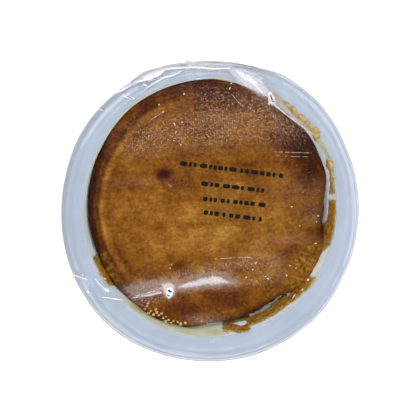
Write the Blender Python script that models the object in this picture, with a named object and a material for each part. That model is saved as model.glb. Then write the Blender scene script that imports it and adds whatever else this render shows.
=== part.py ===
"""A sticky toffee sponge pudding in its white plastic basin, shrink-wrapped in clear film.

Metres, +Z up. The origin is the centre of the underside, on the surface that the pack stands on.
Seen from above, +X is to the right and +Y is up the picture.
"""
import math

import bmesh
import bpy
from mathutils import Vector, noise

# Driving dimensions
RIM_RADIUS = 0.0475
MOUTH_RADIUS = 0.0408
BASIN_HEIGHT = 0.0500
DRAFT = math.radians(8.2)
WALL = 0.0009
GAP = 0.0003
FILM_THICKNESS = 0.00025
SPONGE_EDGE_DEPTH = 0.0115
SEGMENTS = 60

# The basin's details
FLOOR_Z = FILM_THICKNESS + GAP
RIM_Z = FLOOR_Z + BASIN_HEIGHT
FOOT_RECESS = 0.0012
FOOT_WIDTH = 0.0060
BASE_CORNER = 0.0022
FLANGE_THICKNESS = 0.0011
SKIRT_DROP = 0.0050
SKIRT_FLARE = 0.0005
RIM_CORNER = 0.0024
MOUTH_CORNER = 0.0006
LEDGE_DEPTH = 0.0190
LEDGE_STEP = 0.0009
LEDGE_RISE = 0.0016

# The sponge's details
SPONGE_SHIFT = Vector((-0.00020, 0.00028, 0.0))
SPONGE_CLEARANCE = GAP + SPONGE_SHIFT.length
SHOULDER_INSET = 0.0036
SHOULDER_RISE = 0.0040
DISH_INSET = 0.0085
DISH_DROP = 0.0005
CROWN_RISE = 0.0052
CRAG_SIZE = 0.0075
CRAG_HEIGHT = 0.00035
CRUMB_SIZE = 0.0030
CRUMB_HEIGHT = 0.00030

# The film's details
FILM_DIP = 0.0018
FILM_WAIST = 0.0016
VENT_RADIUS = 0.0004
VENTS = ((-0.0130, -0.0260), (0.0193, 0.0355), (-0.0127, 0.0073))

# Toffee sauce on the wall above the sponge, by the angle that each smear covers, in degrees,
# and by the depths below the rim between which it lies
SMEAR_THICKNESS = 0.00060
SMEAR_EDGE = 0.00025
SMEAR_STEP = 3.0
SMEARS = (
    ("toffee_smear_right", -19.0, 6.0, 0.0016, 0.0084),
    ("toffee_smear_upper_right", 9.0, 60.0, 0.0012, 0.0058),
    ("toffee_smear_lower_right", -83.0, -34.0, 0.0026, 0.0099),
    ("toffee_smear_lower_left", 201.0, 216.0, 0.0014, 0.0096),
)


def clear_scene():
    for old in list(bpy.data.objects):
        bpy.data.objects.remove(old, do_unlink=True)


def make_material(name, colour, roughness, alpha=1.0, subsurface=0.0):
    material = bpy.data.materials.new(name)
    material.use_nodes = True
    shader = material.node_tree.nodes["Principled BSDF"]
    shader.inputs["Base Color"].default_value = (*colour, 1.0)
    shader.inputs["Roughness"].default_value = roughness
    shader.inputs["Metallic"].default_value = 0.0
    shader.inputs["Alpha"].default_value = alpha
    shader.inputs["Subsurface Weight"].default_value = subsurface
    shader.inputs["Subsurface Scale"].default_value = WALL
    material.diffuse_color = (*colour, alpha)
    return material


def add_object(name, bm, material, smooth_angle=40.0):
    bmesh.ops.recalc_face_normals(bm, faces=bm.faces)
    mesh = bpy.data.meshes.new(name)
    bm.to_mesh(mesh)
    bm.free()
    mesh.shade_smooth()
    mesh.set_sharp_from_angle(angle=math.radians(smooth_angle))
    mesh.materials.append(material)
    obj = bpy.data.objects.new(name, mesh)
    bpy.context.scene.collection.objects.link(obj)
    return obj


def arc(centre_r, centre_z, radius, start, end, steps):
    """Points of a profile's round corner, at angles from +R in degrees."""
    points = []
    for step in range(steps + 1):
        angle = math.radians(start + (end - start) * step / steps)
        points.append((centre_r + radius * math.cos(angle), centre_z + radius * math.sin(angle)))
    return points


def turn(profile):
    """A bmesh turned about Z from (radius, height) points that start and end on the axis."""
    bm = bmesh.new()
    verts = [bm.verts.new((radius, 0.0, height)) for radius, height in profile]
    edges = [bm.edges.new(pair) for pair in zip(verts, verts[1:])]
    bmesh.ops.spin(bm, geom=verts + edges, cent=(0.0, 0.0, 0.0), axis=(0.0, 0.0, 1.0),
                   angle=math.tau, steps=SEGMENTS, use_merge=True)
    bmesh.ops.remove_doubles(bm, verts=bm.verts, dist=1e-6)
    return bm


def wall_radius(depth):
    """The basin's inner radius at a depth below its rim: a straight draft with one stacking ledge."""
    along = (depth - LEDGE_DEPTH) / LEDGE_RISE
    ledge = min(max(along, 0.0), 1.0)
    return MOUTH_RADIUS - depth * math.tan(DRAFT) - LEDGE_STEP * ledge


def ledge_depths():
    return (LEDGE_DEPTH, LEDGE_DEPTH + LEDGE_RISE)


def basin_profile():
    """From the recessed foot, out and up the wall, round the rim and back down inside."""
    foot_z = FLOOR_Z + FOOT_RECESS
    side_depth = BASIN_HEIGHT - BASE_CORNER
    base_radius = wall_radius(side_depth) + WALL
    foot_radius = base_radius - FOOT_WIDTH
    points = [(0.0, foot_z), (foot_radius - FOOT_RECESS, foot_z), (foot_radius, FLOOR_Z)]
    points += arc(base_radius - BASE_CORNER, FLOOR_Z + BASE_CORNER, BASE_CORNER, -90.0, 0.0, 3)
    for depth in reversed(ledge_depths()):
        points.append((wall_radius(depth) + WALL, RIM_Z - depth))

    under_z = RIM_Z - FLANGE_THICKNESS
    corner_r = RIM_RADIUS - SKIRT_FLARE - RIM_CORNER
    inner_corner = RIM_CORNER - FLANGE_THICKNESS
    skirt_z = RIM_Z - SKIRT_DROP
    points.append((wall_radius(FLANGE_THICKNESS) + WALL, under_z))
    points += arc(corner_r, under_z - inner_corner, inner_corner, 90.0, 0.0, 3)
    points += [(RIM_RADIUS - FLANGE_THICKNESS, skirt_z), (RIM_RADIUS, skirt_z)]
    points += arc(corner_r, RIM_Z - RIM_CORNER, RIM_CORNER, 0.0, 90.0, 5)

    mouth_r = wall_radius(MOUTH_CORNER)
    points += arc(mouth_r + MOUTH_CORNER, RIM_Z - MOUTH_CORNER, MOUTH_CORNER, 90.0, 180.0, 3)
    for depth in ledge_depths():
        points.append((wall_radius(depth), RIM_Z - depth))
    inner_corner_r = wall_radius(side_depth) - BASE_CORNER
    inner_floor_z = foot_z + WALL
    points += arc(inner_corner_r, inner_floor_z + BASE_CORNER, BASE_CORNER, 0.0, -90.0, 3)
    points.append((0.0, inner_floor_z))
    return points


def make_basin(material):
    return add_object("basin", turn(basin_profile()), material, smooth_angle=30.0)


def sponge_edge_radius():
    return wall_radius(SPONGE_EDGE_DEPTH) - SPONGE_CLEARANCE


def sponge_top(radius):
    """The height of the sponge's top: a rounded shoulder, a faint dished ring and a low crown."""
    edge = sponge_edge_radius()
    edge_z = RIM_Z - SPONGE_EDGE_DEPTH
    inset = edge - radius
    if inset < SHOULDER_INSET:
        along = inset / SHOULDER_INSET
        return edge_z + SHOULDER_RISE * math.sqrt(1.0 - (1.0 - along) ** 2)
    dish = DISH_DROP * math.exp(-((inset - DISH_INSET) / SHOULDER_INSET) ** 2)
    crown = (CROWN_RISE - SHOULDER_RISE) * (1.0 - (radius / (edge - SHOULDER_INSET)) ** 2)
    return edge_z + SHOULDER_RISE + crown - dish


def sponge_profile():
    floor_z = FLOOR_Z + FOOT_RECESS + WALL + GAP
    corner_depth = BASIN_HEIGHT - FOOT_RECESS - WALL - GAP - BASE_CORNER
    corner_r = wall_radius(corner_depth) - SPONGE_CLEARANCE
    points = [(0.0, floor_z)]
    points += arc(corner_r - BASE_CORNER, floor_z + BASE_CORNER, BASE_CORNER, -90.0, 0.0, 2)
    for depth in reversed(ledge_depths()):
        points.append((wall_radius(depth) - SPONGE_CLEARANCE, RIM_Z - depth))
    edge = sponge_edge_radius()
    insets = (0.0, 0.0003, 0.0010, 0.0022, 0.0036, 0.0058, 0.0085, 0.0125, 0.0180, 0.0240, 0.0310)
    points += [(edge - inset, sponge_top(edge - inset)) for inset in insets]
    points.append((0.0, sponge_top(0.0)))
    return points


def make_sponge(material):
    bm = turn(sponge_profile())
    top_z = RIM_Z - SPONGE_EDGE_DEPTH + CRAG_HEIGHT
    for vert in bm.verts:
        if vert.co.z > top_z:
            crag = noise.noise(vert.co / CRAG_SIZE) * CRAG_HEIGHT
            crumb = noise.noise(vert.co / CRUMB_SIZE) * CRUMB_HEIGHT
            vert.co.z += crag + crumb
        vert.co += SPONGE_SHIFT
    return add_object("sponge", bm, material, smooth_angle=60.0)


def smear_ends(angle, start, end, top, bottom):
    """The depths of a smear's wavy top and bottom edges at one angle."""
    along = (angle - start) / (end - start)
    taper = min(1.0, math.sin(math.pi * along) * 1.6 + 0.25)
    middle = (top + bottom) / 2.0
    half = (bottom - top) / 2.0 * taper
    wave = 0.12 * math.sin(math.radians(angle) * 23.0) + 0.10 * math.sin(math.radians(angle) * 41.0)
    return middle - half * (1.0 + wave), middle + half * (1.0 - wave)


def make_smear(name, start, end, top, bottom, material):
    """A thin curved pat of sauce that follows the wall, thickest in the middle of its height."""
    columns = round((end - start) / SMEAR_STEP)
    rows = 4
    bm = bmesh.new()
    skins = {}
    for skin in ("wall", "face"):
        grid = []
        for column in range(columns + 1):
            angle = start + (end - start) * column / columns
            high, low = smear_ends(angle, start, end, top, bottom)
            line = []
            for row in range(rows + 1):
                along = row / rows
                depth = high + (low - high) * along
                radius = wall_radius(depth) - GAP
                if skin == "face":
                    swell = math.sin(math.pi * along) * math.sin(math.pi * (column + 0.5) / (columns + 1))
                    radius -= SMEAR_EDGE + (SMEAR_THICKNESS - SMEAR_EDGE) * swell
                turned = math.radians(angle)
                place = (radius * math.cos(turned), radius * math.sin(turned), RIM_Z - depth)
                line.append(bm.verts.new(place))
            grid.append(line)
        skins[skin] = grid
        for column in range(columns):
            for row in range(rows):
                bm.faces.new((grid[column][row], grid[column + 1][row],
                              grid[column + 1][row + 1], grid[column][row + 1]))
    bmesh.ops.recalc_face_normals(bm, faces=bm.faces)
    rims = [edge for edge in bm.edges if edge.is_boundary]
    bmesh.ops.bridge_loops(bm, edges=rims)
    return add_object(name, bm, material, smooth_angle=60.0)


def film_height(radius):
    """The film's inner face over the rim and across the mouth, where it sags a little."""
    across = min(radius / MOUTH_RADIUS, 1.0)
    return RIM_Z + GAP - FILM_DIP * math.cos(math.pi / 2.0 * across) ** 2


def film_profile():
    """The film's inner face: over the mouth, round the rim and tight down to the foot."""
    outer_r = RIM_RADIUS + GAP
    corner = RIM_CORNER + GAP
    skirt_z = RIM_Z - SKIRT_DROP - GAP
    foot_r = wall_radius(BASIN_HEIGHT - BASE_CORNER) + WALL + GAP
    points = [(0.0, film_height(0.0))]
    steps = 6
    for step in range(1, steps + 1):
        radius = MOUTH_RADIUS * step / steps
        points.append((radius, film_height(radius)))
    points += arc(outer_r - corner, RIM_Z + GAP - corner, corner, 90.0, 0.0, 3)
    points.append((outer_r, skirt_z))
    cone_steps = 4
    for step in range(1, cone_steps):
        along = step / cone_steps
        radius = outer_r + (foot_r - outer_r) * along - FILM_WAIST * math.sin(math.pi * along)
        points.append((radius, skirt_z + (FILM_THICKNESS + BASE_CORNER - skirt_z) * along))
    foot_corner = BASE_CORNER + GAP
    points += arc(foot_r - foot_corner, FILM_THICKNESS + foot_corner, foot_corner, 0.0, -90.0, 3)
    points.append((0.0, FILM_THICKNESS))
    return points


def add_vent_cutter(index, place):
    bm = bmesh.new()
    tall = 8.0 * FILM_THICKNESS
    bmesh.ops.create_cone(bm, cap_ends=True, segments=8, radius1=VENT_RADIUS, radius2=VENT_RADIUS, depth=tall)
    height = film_height(math.hypot(*place)) + FILM_THICKNESS / 2.0
    mesh = bpy.data.meshes.new(f"vent_cutter_{index}")
    bm.to_mesh(mesh)
    bm.free()
    cutter = bpy.data.objects.new(mesh.name, mesh)
    cutter.location = (*place, height)
    cutter.hide_render = True
    cutter.display_type = "WIRE"
    bpy.context.scene.collection.objects.link(cutter)
    return cutter


def make_film(material):
    """One skin of film round the whole pack, pricked by three small steam vents."""
    film = add_object("film", turn(film_profile()), material)
    skin = film.modifiers.new("skin", "SOLIDIFY")
    skin.thickness = FILM_THICKNESS
    skin.offset = 1.0
    skin.use_even_offset = True
    for index, place in enumerate(VENTS):
        vent = film.modifiers.new(f"vent_{index}", "BOOLEAN")
        vent.operation = "DIFFERENCE"
        vent.object = add_vent_cutter(index, place)
    return film


def main():
    clear_scene()
    white_plastic = make_material("white_plastic", (0.62, 0.66, 0.71), 0.38, subsurface=0.2)
    baked_sponge = make_material("baked_sponge", (0.26, 0.105, 0.020), 0.45)
    toffee_sauce = make_material("toffee_sauce", (0.215, 0.085, 0.012), 0.25)
    clear_film = make_material("clear_film", (0.90, 0.92, 0.95), 0.12, alpha=0.15)
    make_basin(white_plastic)
    make_sponge(baked_sponge)
    for smear in SMEARS:
        make_smear(*smear, toffee_sauce)
    make_film(clear_film)


main()
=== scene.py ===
"""The looks of a sticky toffee sponge pudding in a white basin, shrink-wrapped in clear film.

Metres, +Z up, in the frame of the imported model. Places that come from the photograph are pixels of
its 420 x 420 frame, carried onto the object along the camera's rays.
"""
import itertools
import math

import bmesh
import bpy
import numpy as np
from mathutils import Matrix, Vector

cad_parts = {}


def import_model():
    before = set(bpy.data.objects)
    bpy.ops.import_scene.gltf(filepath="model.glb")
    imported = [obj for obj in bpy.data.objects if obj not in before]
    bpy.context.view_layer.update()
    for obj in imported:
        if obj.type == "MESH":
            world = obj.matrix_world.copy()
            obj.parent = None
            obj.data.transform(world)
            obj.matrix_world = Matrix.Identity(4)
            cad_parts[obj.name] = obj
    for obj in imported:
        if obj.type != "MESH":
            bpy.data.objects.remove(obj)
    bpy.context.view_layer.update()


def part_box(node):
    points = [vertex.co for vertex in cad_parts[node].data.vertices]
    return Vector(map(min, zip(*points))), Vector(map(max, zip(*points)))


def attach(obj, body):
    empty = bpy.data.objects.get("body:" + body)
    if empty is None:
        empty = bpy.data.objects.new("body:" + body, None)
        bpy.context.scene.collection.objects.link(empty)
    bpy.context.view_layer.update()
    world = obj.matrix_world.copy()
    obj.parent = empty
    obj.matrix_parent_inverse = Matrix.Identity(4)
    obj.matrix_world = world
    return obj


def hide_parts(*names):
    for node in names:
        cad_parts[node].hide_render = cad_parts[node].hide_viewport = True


MM = 0.001
BODY = "root"

# The camera, which looks down from just beyond the picture's upper left
FRAME_PX = 420.0
PIXEL = 0.000318
LENS_MM = 215.9
SENSOR_MM = 36.0
VIEW_TILT = math.radians(12.0)
VIEW_TURN = math.radians(122.0)
VIEW_DISTANCE = 0.8
VIEW_TARGET = Vector((-0.0004, 0.0012, 0.0505))

# The rim is pulled slightly oval by the film, and the mouth sits a little toward the back of it.
# Bearings in degrees with outward shifts in millimetres, for the rim, the mouth and the film alone.
OVAL = 0.0105
MOUTH_SHIFT = np.array((-0.10, 0.82, 0.0)) * MM
RIM_SHIFTS = (
    (0, 0.40), (25, 0.40), (45, 1.05), (62, 0.65), (75, -0.20), (90, -0.55), (105, 0.05), (120, 0.25),
    (135, 0.55), (150, 0.50), (165, -0.10), (180, -0.15), (205, 0.30), (225, 0.55), (240, 0.45),
    (262, 0.15), (290, 0.60), (315, 1.05), (335, 0.55), (345, 0.55), (360, 0.40),
)
MOUTH_SHIFTS = (
    (0, 0.0), (72, 0.0), (88, 1.05), (128, 1.05), (150, 0.0), (200, 0.0), (214, -0.4), (232, -0.5),
    (244, 0.0), (360, 0.0),
)
FILM_SHIFTS = (
    (0, 0.0), (50, 0.2), (61, 0.5), (70, 0.0), (97, 0.2), (98.4, 0.6), (99.7, -0.1), (102.3, 0.3),
    (109, 0.5), (115.6, 1.15), (122, 0.2), (128.9, 0.1), (150, 0.1), (210, 0.1), (228, 0.2),
    (250, 0.0), (360, 0.0),
)

# The basin, as in the CAD model
RIM_RADIUS = 0.0475
MOUTH_RADIUS = 0.0408
DRAFT = math.radians(8.2)
WALL = 0.0009
FOOT_RECESS = 0.0012
FOOT_WIDTH = 0.0060
BASE_CORNER = 0.0022
FLANGE_THICKNESS = 0.0011
SKIRT_DROP = 0.0050
SKIRT_FLARE = 0.0005
RIM_CORNER = 0.0024
MOUTH_CORNER = 0.0006
LEDGE_DEPTH = 0.0190
LEDGE_STEP = 0.0009
LEDGE_RISE = 0.0016
GAP = 0.0003
# How far the rim reaches into the gap under the film that clings to it
CLING = 0.00034
BASIN_SEGMENTS = 240

# The sponge, as in the CAD model
SPONGE_SHIFT = np.array((-0.00020, 0.00028, 0.0))
SPONGE_CLEARANCE = 0.00045
SPONGE_EDGE_DEPTH = 0.0115
SHOULDER_INSET = 0.0036
SHOULDER_RISE = 0.0040
DISH_INSET = 0.0085
DISH_DROP = 0.0005
CROWN_RISE = 0.0052
SPONGE_SEGMENTS = 400

# The film, as in the CAD model
FILM_THICKNESS = 0.00025
FILM_DIP = 0.0018
FILM_WAIST = 0.0016
FILM_SEGMENTS = 640
CONE_STEPS = 70
# How white it is: everywhere, down its side, in the pleats there as painted highlight, and under its foot
FILM_HAZE = 0.0005
SIDE_HAZE = 0.035
PLEAT_PAINTED_HIGHLIGHT = 0.24
FOOT_HAZE = 0.06

# The noise table's cells each way
LATTICE = 64


def mix(low, high, share):
    return low + (high - low) * share


def smooth_step(low, high, value):
    share = np.clip((value - low) / (high - low), 0.0, 1.0)
    return share * share * (3.0 - 2.0 * share)


def band(value, start, whole, ending, end):
    """1 from whole to ending and 0 beyond start and end, with soft slopes."""
    return smooth_step(start, whole, value) * (1.0 - smooth_step(ending, end, value))


def peak(value, middle, width):
    """1 at a middle value, and softly less on both sides of it."""
    return np.exp(-((value - middle) / width) ** 2)


def polar(places):
    """How far points are from the axis, and their bearings in degrees."""
    return (np.hypot(places[..., 0], places[..., 1]),
            np.degrees(np.arctan2(places[..., 1], places[..., 0])) % 360.0)


def shift_at(degrees, shifts):
    """The outward shift at each bearing, in metres."""
    return np.interp(degrees, *np.array(shifts).T) * MM


def settle(places, film_share=0.0):
    """Moves nominal points to where the pulled rim and mouth stand."""
    places = np.array(places, dtype=float)
    radius, degrees = polar(places)
    height = places[..., 2]
    rise = smooth_step(5.0 * MM, 42.0 * MM, height)
    outward = shift_at(degrees, RIM_SHIFTS) + film_share * shift_at(degrees, FILM_SHIFTS)
    outward *= smooth_step(41.5 * MM, 47.0 * MM, radius) * smooth_step(34.0 * MM, 45.0 * MM, height)
    inner = 1.0 - smooth_step(41.2 * MM, 46.8 * MM, radius)
    widened = shift_at(degrees, MOUTH_SHIFTS) * inner * rise * smooth_step(24.0 * MM, 36.0 * MM, radius)
    stretch = (outward + widened) / np.maximum(radius, MM)
    places[..., 0] *= 1.0 - OVAL * rise + stretch
    places[..., 1] *= 1.0 + OVAL * rise + stretch
    return places + (inner * rise)[..., None] * MOUTH_SHIFT


def unsettle(places, film_share=0.0):
    """Close to the inverse of settle."""
    return 2.0 * np.asarray(places) - settle(places, film_share)


def make_noise(seed):
    """A smooth random field over space, from -1 to 1, and the same on every run."""
    table = np.random.default_rng(seed).random((LATTICE, LATTICE, LATTICE))

    def noise(places, size):
        scaled = np.asarray(places) / size
        cell = np.floor(scaled).astype(int)
        part = scaled - cell
        part = part * part * (3.0 - 2.0 * part)
        total = np.zeros(scaled.shape[:-1])
        for corner in itertools.product((0, 1), repeat=3):
            index = (cell + corner) % LATTICE
            weight = np.prod(np.where(corner, part, 1.0 - part), axis=-1)
            total += weight * table[index[..., 0], index[..., 1], index[..., 2]]
        return 2.0 * total - 1.0

    return noise


field = make_noise(11)
other_field = make_noise(29)


def ridges(places, size, sharpness):
    """Thin raised lines on a flat ground, from 0 to 1."""
    return (1.0 - np.abs(field(places, size))) ** sharpness


# Camera

def place_camera():
    camera_data = bpy.data.cameras.new("camera")
    camera_data.lens = LENS_MM
    camera_data.sensor_width = SENSOR_MM
    camera_data.clip_start = 0.01
    camera = bpy.data.objects.new("camera", camera_data)
    bpy.context.scene.collection.objects.link(camera)
    back = Vector((math.sin(VIEW_TILT) * math.cos(VIEW_TURN),
                   math.sin(VIEW_TILT) * math.sin(VIEW_TURN),
                   math.cos(VIEW_TILT)))
    right = Vector((0.0, 1.0, 0.0)).cross(back).normalized()
    turn = Matrix((right, back.cross(right), back)).transposed()
    camera.matrix_world = Matrix.Translation(VIEW_TARGET + back * VIEW_DISTANCE) @ turn.to_4x4()
    bpy.context.scene.camera = camera
    return camera


def at_height(camera, pixels, height):
    """The points at a height above the table that show at pixels of the photograph."""
    pixels = np.asarray(pixels, dtype=float)
    half = FRAME_PX / 2.0
    slope = SENSOR_MM / LENS_MM / FRAME_PX
    start = np.array(camera.matrix_world.translation)
    ray = np.stack(((pixels[..., 0] - half) * slope, (half - pixels[..., 1]) * slope,
                    -np.ones(pixels.shape[:-1])), axis=-1)
    ray = ray @ np.array(camera.matrix_world.to_3x3()).T
    return start + ray * ((height - start[2]) / ray[..., 2])[..., None]


# Mesh building

def set_value(mesh, name, values):
    attribute = mesh.attributes.new(name, "FLOAT", "POINT")
    attribute.data.foreach_set("value", np.asarray(values, dtype=np.float32).ravel())


def finish_piece(name, places, faces, material, values=None):
    """A shown piece from points and faces, with named values at its points."""
    mesh = bpy.data.meshes.new(name)
    mesh.from_pydata(np.asarray(places).reshape(-1, 3).tolist(), [], faces)
    mesh.update()
    mesh.shade_smooth()
    for key, value in (values or {}).items():
        set_value(mesh, key, value)
    mesh.materials.append(material)
    piece = bpy.data.objects.new(name, mesh)
    bpy.context.scene.collection.objects.link(piece)
    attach(piece, BODY)
    return piece


def grid_faces(rows, columns, closed, keep=None):
    """Quads between the rows of a grid of points, which may close round its columns."""
    row, column = np.meshgrid(np.arange(rows - 1), np.arange(columns - (0 if closed else 1)), indexing="ij")
    after = (column + 1) % columns
    quads = np.stack((row * columns + column, (row + 1) * columns + column,
                      (row + 1) * columns + after, row * columns + after), axis=-1)
    if keep is not None:
        return quads[keep].tolist()
    return quads.reshape(-1, 4).tolist()


def capped_turn(rings, start, end):
    """Points and faces of rings of points, closed by a fan to one point at each end."""
    count, segments = rings.shape[:2]
    places = np.concatenate((rings.reshape(-1, 3), np.array((start, end))))
    faces = grid_faces(count, segments, True)
    first, last = count * segments, count * segments + 1
    base = (count - 1) * segments
    for step in range(segments):
        after = (step + 1) % segments
        faces.append((first, step, after))
        faces.append((last, base + after, base + step))
    return places, faces


def with_ends(values, start=0.0, end=0.0):
    """Values at rings of points, followed by those at the two end points."""
    return np.concatenate((values.ravel(), (start, end)))


def angles_of(segments):
    return np.arange(segments) / segments * math.tau


def push_out(rings, amount):
    """Moves turned rings of points away from the axis."""
    angle = angles_of(rings.shape[1])[None, :]
    rings[..., 0] += amount * np.cos(angle)
    rings[..., 1] += amount * np.sin(angle)


def turned_rings(profile, segments):
    """Rings of points from a profile of radius and height."""
    profile = np.asarray(profile)
    angle = angles_of(segments)[None, :]
    radius = profile[:, 0][:, None]
    height = np.broadcast_to(profile[:, 1][:, None], (len(profile), segments))
    return np.stack((radius * np.cos(angle), radius * np.sin(angle), height), axis=-1)


def arc(centre_r, centre_z, radius, start, end, steps):
    angles = np.radians(np.linspace(start, end, steps + 1))
    return [(centre_r + radius * math.cos(a), centre_z + radius * math.sin(a)) for a in angles]


def line(start, end, steps):
    """Points between two points of a profile, without its ends."""
    shares = np.linspace(0.0, 1.0, steps + 2)[1:-1]
    return [(mix(start[0], end[0], s), mix(start[1], end[1], s)) for s in shares]


def path_distance(places, path):
    """Each point's distance in plan from a broken line, and how far along the line it lies, 0 to 1."""
    path = np.asarray(path)[:, :2]
    lengths = np.linalg.norm(np.diff(path, axis=0), axis=1)
    total, travelled = lengths.sum(), 0.0
    best = np.full(places.shape[:-1], 1e9)
    along = np.zeros(places.shape[:-1])
    for start, end, length in zip(path, path[1:], lengths):
        run = (end - start) / length
        share = np.clip((places[..., :2] - start) @ run, 0.0, length)
        distance = np.linalg.norm(places[..., :2] - (start + share[..., None] * run), axis=-1)
        closer = distance < best
        best = np.where(closer, distance, best)
        along = np.where(closer, (travelled + share) / total, along)
        travelled += length
    return best, along


def turned(along, aside, degrees):
    """Flat offsets after a turn."""
    cos, sin = math.cos(math.radians(degrees)), math.sin(math.radians(degrees))
    return along * cos - aside * sin, along * sin + aside * cos


# Materials

def set_ramp(ramp, stops):
    """Fills a colour ramp from (place, (red, green, blue)) stops."""
    elements = ramp.color_ramp.elements
    while len(elements) < len(stops):
        elements.new(0.5)
    for element, (place, colour) in zip(elements, stops):
        element.position = place
        element.color = (*colour, 1.0)


class Paint:
    """A material with short calls for its nodes."""

    def __init__(self, name):
        self.material = bpy.data.materials.new(name)
        self.material.use_nodes = True
        self.tree = self.material.node_tree
        self.shader = self.tree.nodes["Principled BSDF"]
        self.output = self.tree.nodes["Material Output"]
        self.places = self.tree.nodes.new("ShaderNodeTexCoord").outputs["Object"]

    def node(self, kind, **settings):
        node = self.tree.nodes.new(kind)
        for key, value in settings.items():
            setattr(node, key, value)
        return node

    def join(self, source, target):
        self.tree.links.new(source, target)

    def give(self, socket, given):
        """Sets a socket to plain numbers, or joins another node's output to it."""
        if isinstance(given, bpy.types.NodeSocket):
            self.join(given, socket)
        else:
            socket.default_value = (*given, 1.0) if socket.type == "RGBA" else given

    def value(self, name):
        return self.node("ShaderNodeAttribute", attribute_name=name).outputs["Fac"]

    def noise(self, grain, detail=3.0, stretch=(1.0, 1.0, 1.0)):
        """Noise whose blobs are about as wide as grain, in metres."""
        scaled = self.node("ShaderNodeMapping")
        scaled.inputs["Scale"].default_value = stretch
        noise = self.node("ShaderNodeTexNoise")
        noise.inputs["Scale"].default_value = 1.0 / grain
        noise.inputs["Detail"].default_value = detail
        self.join(self.places, scaled.inputs["Vector"])
        self.join(scaled.outputs["Vector"], noise.inputs["Vector"])
        return noise.outputs["Fac"]

    def grains(self, size):
        """Scattered round grains: 1 in the middle of a grain, less between, each of its own strength."""
        cells = self.node("ShaderNodeTexVoronoi", voronoi_dimensions="2D")
        cells.inputs["Scale"].default_value = 1.0 / size
        self.join(self.places, cells.inputs["Vector"])
        split = self.node("ShaderNodeSeparateColor")
        self.join(cells.outputs["Color"], split.inputs["Color"])
        strength = self.spread(split.outputs["Red"], 0.25, 0.95)
        return self.math("MULTIPLY", self.spread(cells.outputs["Distance"], 0.40, 0.12), strength)

    def math(self, operation, first, second=0.0, clamp=False):
        node = self.node("ShaderNodeMath", operation=operation, use_clamp=clamp)
        for socket, given in zip(node.inputs, (first, second)):
            self.give(socket, given)
        return node.outputs[0]

    def spread(self, source, low, high, to_low=0.0, to_high=1.0):
        node = self.node("ShaderNodeMapRange")
        for key, number in zip(("From Min", "From Max", "To Min", "To Max"), (low, high, to_low, to_high)):
            node.inputs[key].default_value = number
        self.join(source, node.inputs["Value"])
        return node.outputs["Result"]

    def ramp(self, source, stops):
        """Colours along a value."""
        ramp = self.node("ShaderNodeValToRGB")
        set_ramp(ramp, stops)
        self.join(source, ramp.inputs["Fac"])
        return ramp.outputs["Color"]

    def blend(self, share, low, high):
        """A colour between two, each a socket or plain numbers."""
        node = self.node("ShaderNodeMix", data_type="RGBA")
        self.join(share, node.inputs["Factor"])
        for socket, given in zip((node.inputs[6], node.inputs[7]), (low, high)):
            self.give(socket, given)
        return node.outputs[2]

    def bump(self, source, height, strength=1.0):
        node = self.node("ShaderNodeBump")
        node.inputs["Strength"].default_value = strength
        node.inputs["Distance"].default_value = height
        self.join(source, node.inputs["Height"])
        return node.outputs["Normal"]

    def layer(self, share, below, above):
        """A share of one shader over another."""
        node = self.node("ShaderNodeMixShader")
        for socket, source in zip(node.inputs, (share, below, above)):
            self.join(source, socket)
        return node.outputs[0]

    def plain_shader(self, kind, colour):
        node = self.node(kind)
        self.give(node.inputs["Color"], colour)
        return node.outputs[0]

    def finish(self, **given):
        """Gives the shader's sockets numbers or other nodes' outputs."""
        for key, source in given.items():
            self.give(self.shader.inputs[key.replace("_", " ")], source)
        return self.material

    def finish_with(self, surface):
        """Shows another shader in place of the Principled one."""
        self.join(surface, self.output.inputs["Surface"])
        self.tree.nodes.remove(self.shader)
        return self.material


def plastic_material():
    """White moulded plastic, faintly blue, with painted shade on the flange's rounded edge and painted
    light on the inner wall. Its thin wall lets light in, and sauce stains it yellow.
    """
    paint = Paint("white_plastic")
    cloud = paint.noise(9 * MM, 2.0)
    white = paint.ramp(cloud, ((0.3, (0.410, 0.462, 0.538)), (0.7, (0.440, 0.496, 0.578))))
    # Painted shade: the flange's rounded edge darker
    edge_shaded = paint.blend(paint.value("edge"), white, (0.240, 0.300, 0.360))
    # Painted light: the inner wall lighter, as if lit through the wall
    wall_lit = paint.blend(paint.value("wall"), edge_shaded, (0.84, 0.98, 1.0))
    stained = paint.blend(paint.value("stain_and_groove_shade"), wall_lit, (0.55, 0.49, 0.165))
    browned = paint.blend(paint.value("brown"), stained, (0.56, 0.33, 0.19))
    return paint.finish(
        Base_Color=browned,
        Roughness=paint.spread(paint.noise(1.5 * MM), 0.3, 0.7, 0.30, 0.40),
        Normal=paint.bump(paint.noise(0.7 * MM), 0.02 * MM, 0.5),
        Subsurface_Weight=0.8, Subsurface_Scale=2.5 * MM, Subsurface_Radius=(1.0, 1.0, 1.0),
    )


# The sponge's mottling: grain in millimetres, change of tone, and stretch along X
SPONGE_MOTTLES = ((0.45, 0.08, 1.0), (1.0, 0.13, 1.0), (6.0, 0.14, 1.0), (1.6, 0.06, 0.12))
# Its colours from the darkest tone to the lightest
SPONGE_COLOURS = (
    (0.00, (0.032, 0.007, 0.001)),
    (0.18, (0.062, 0.014, 0.002)),
    (0.40, (0.128, 0.035, 0.004)),
    (0.62, (0.222, 0.079, 0.007)),
    (0.82, (0.320, 0.137, 0.018)),
    (1.00, (0.430, 0.225, 0.045)),
)
# The colours of the sauce that lies on it
SYRUP_COLOURS = (
    (0.34, (0.120, 0.032, 0.002)),
    (0.50, (0.300, 0.120, 0.006)),
    (0.66, (0.520, 0.310, 0.050)),
)
# The smears' colours from thin sauce to thick
SAUCE_COLOURS = (
    (0.00, (0.450, 0.390, 0.180)),
    (0.20, (0.320, 0.255, 0.075)),
    (0.42, (0.410, 0.205, 0.018)),
    (0.65, (0.360, 0.130, 0.005)),
    (0.85, (0.240, 0.072, 0.003)),
    (1.00, (0.120, 0.030, 0.002)),
)


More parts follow.
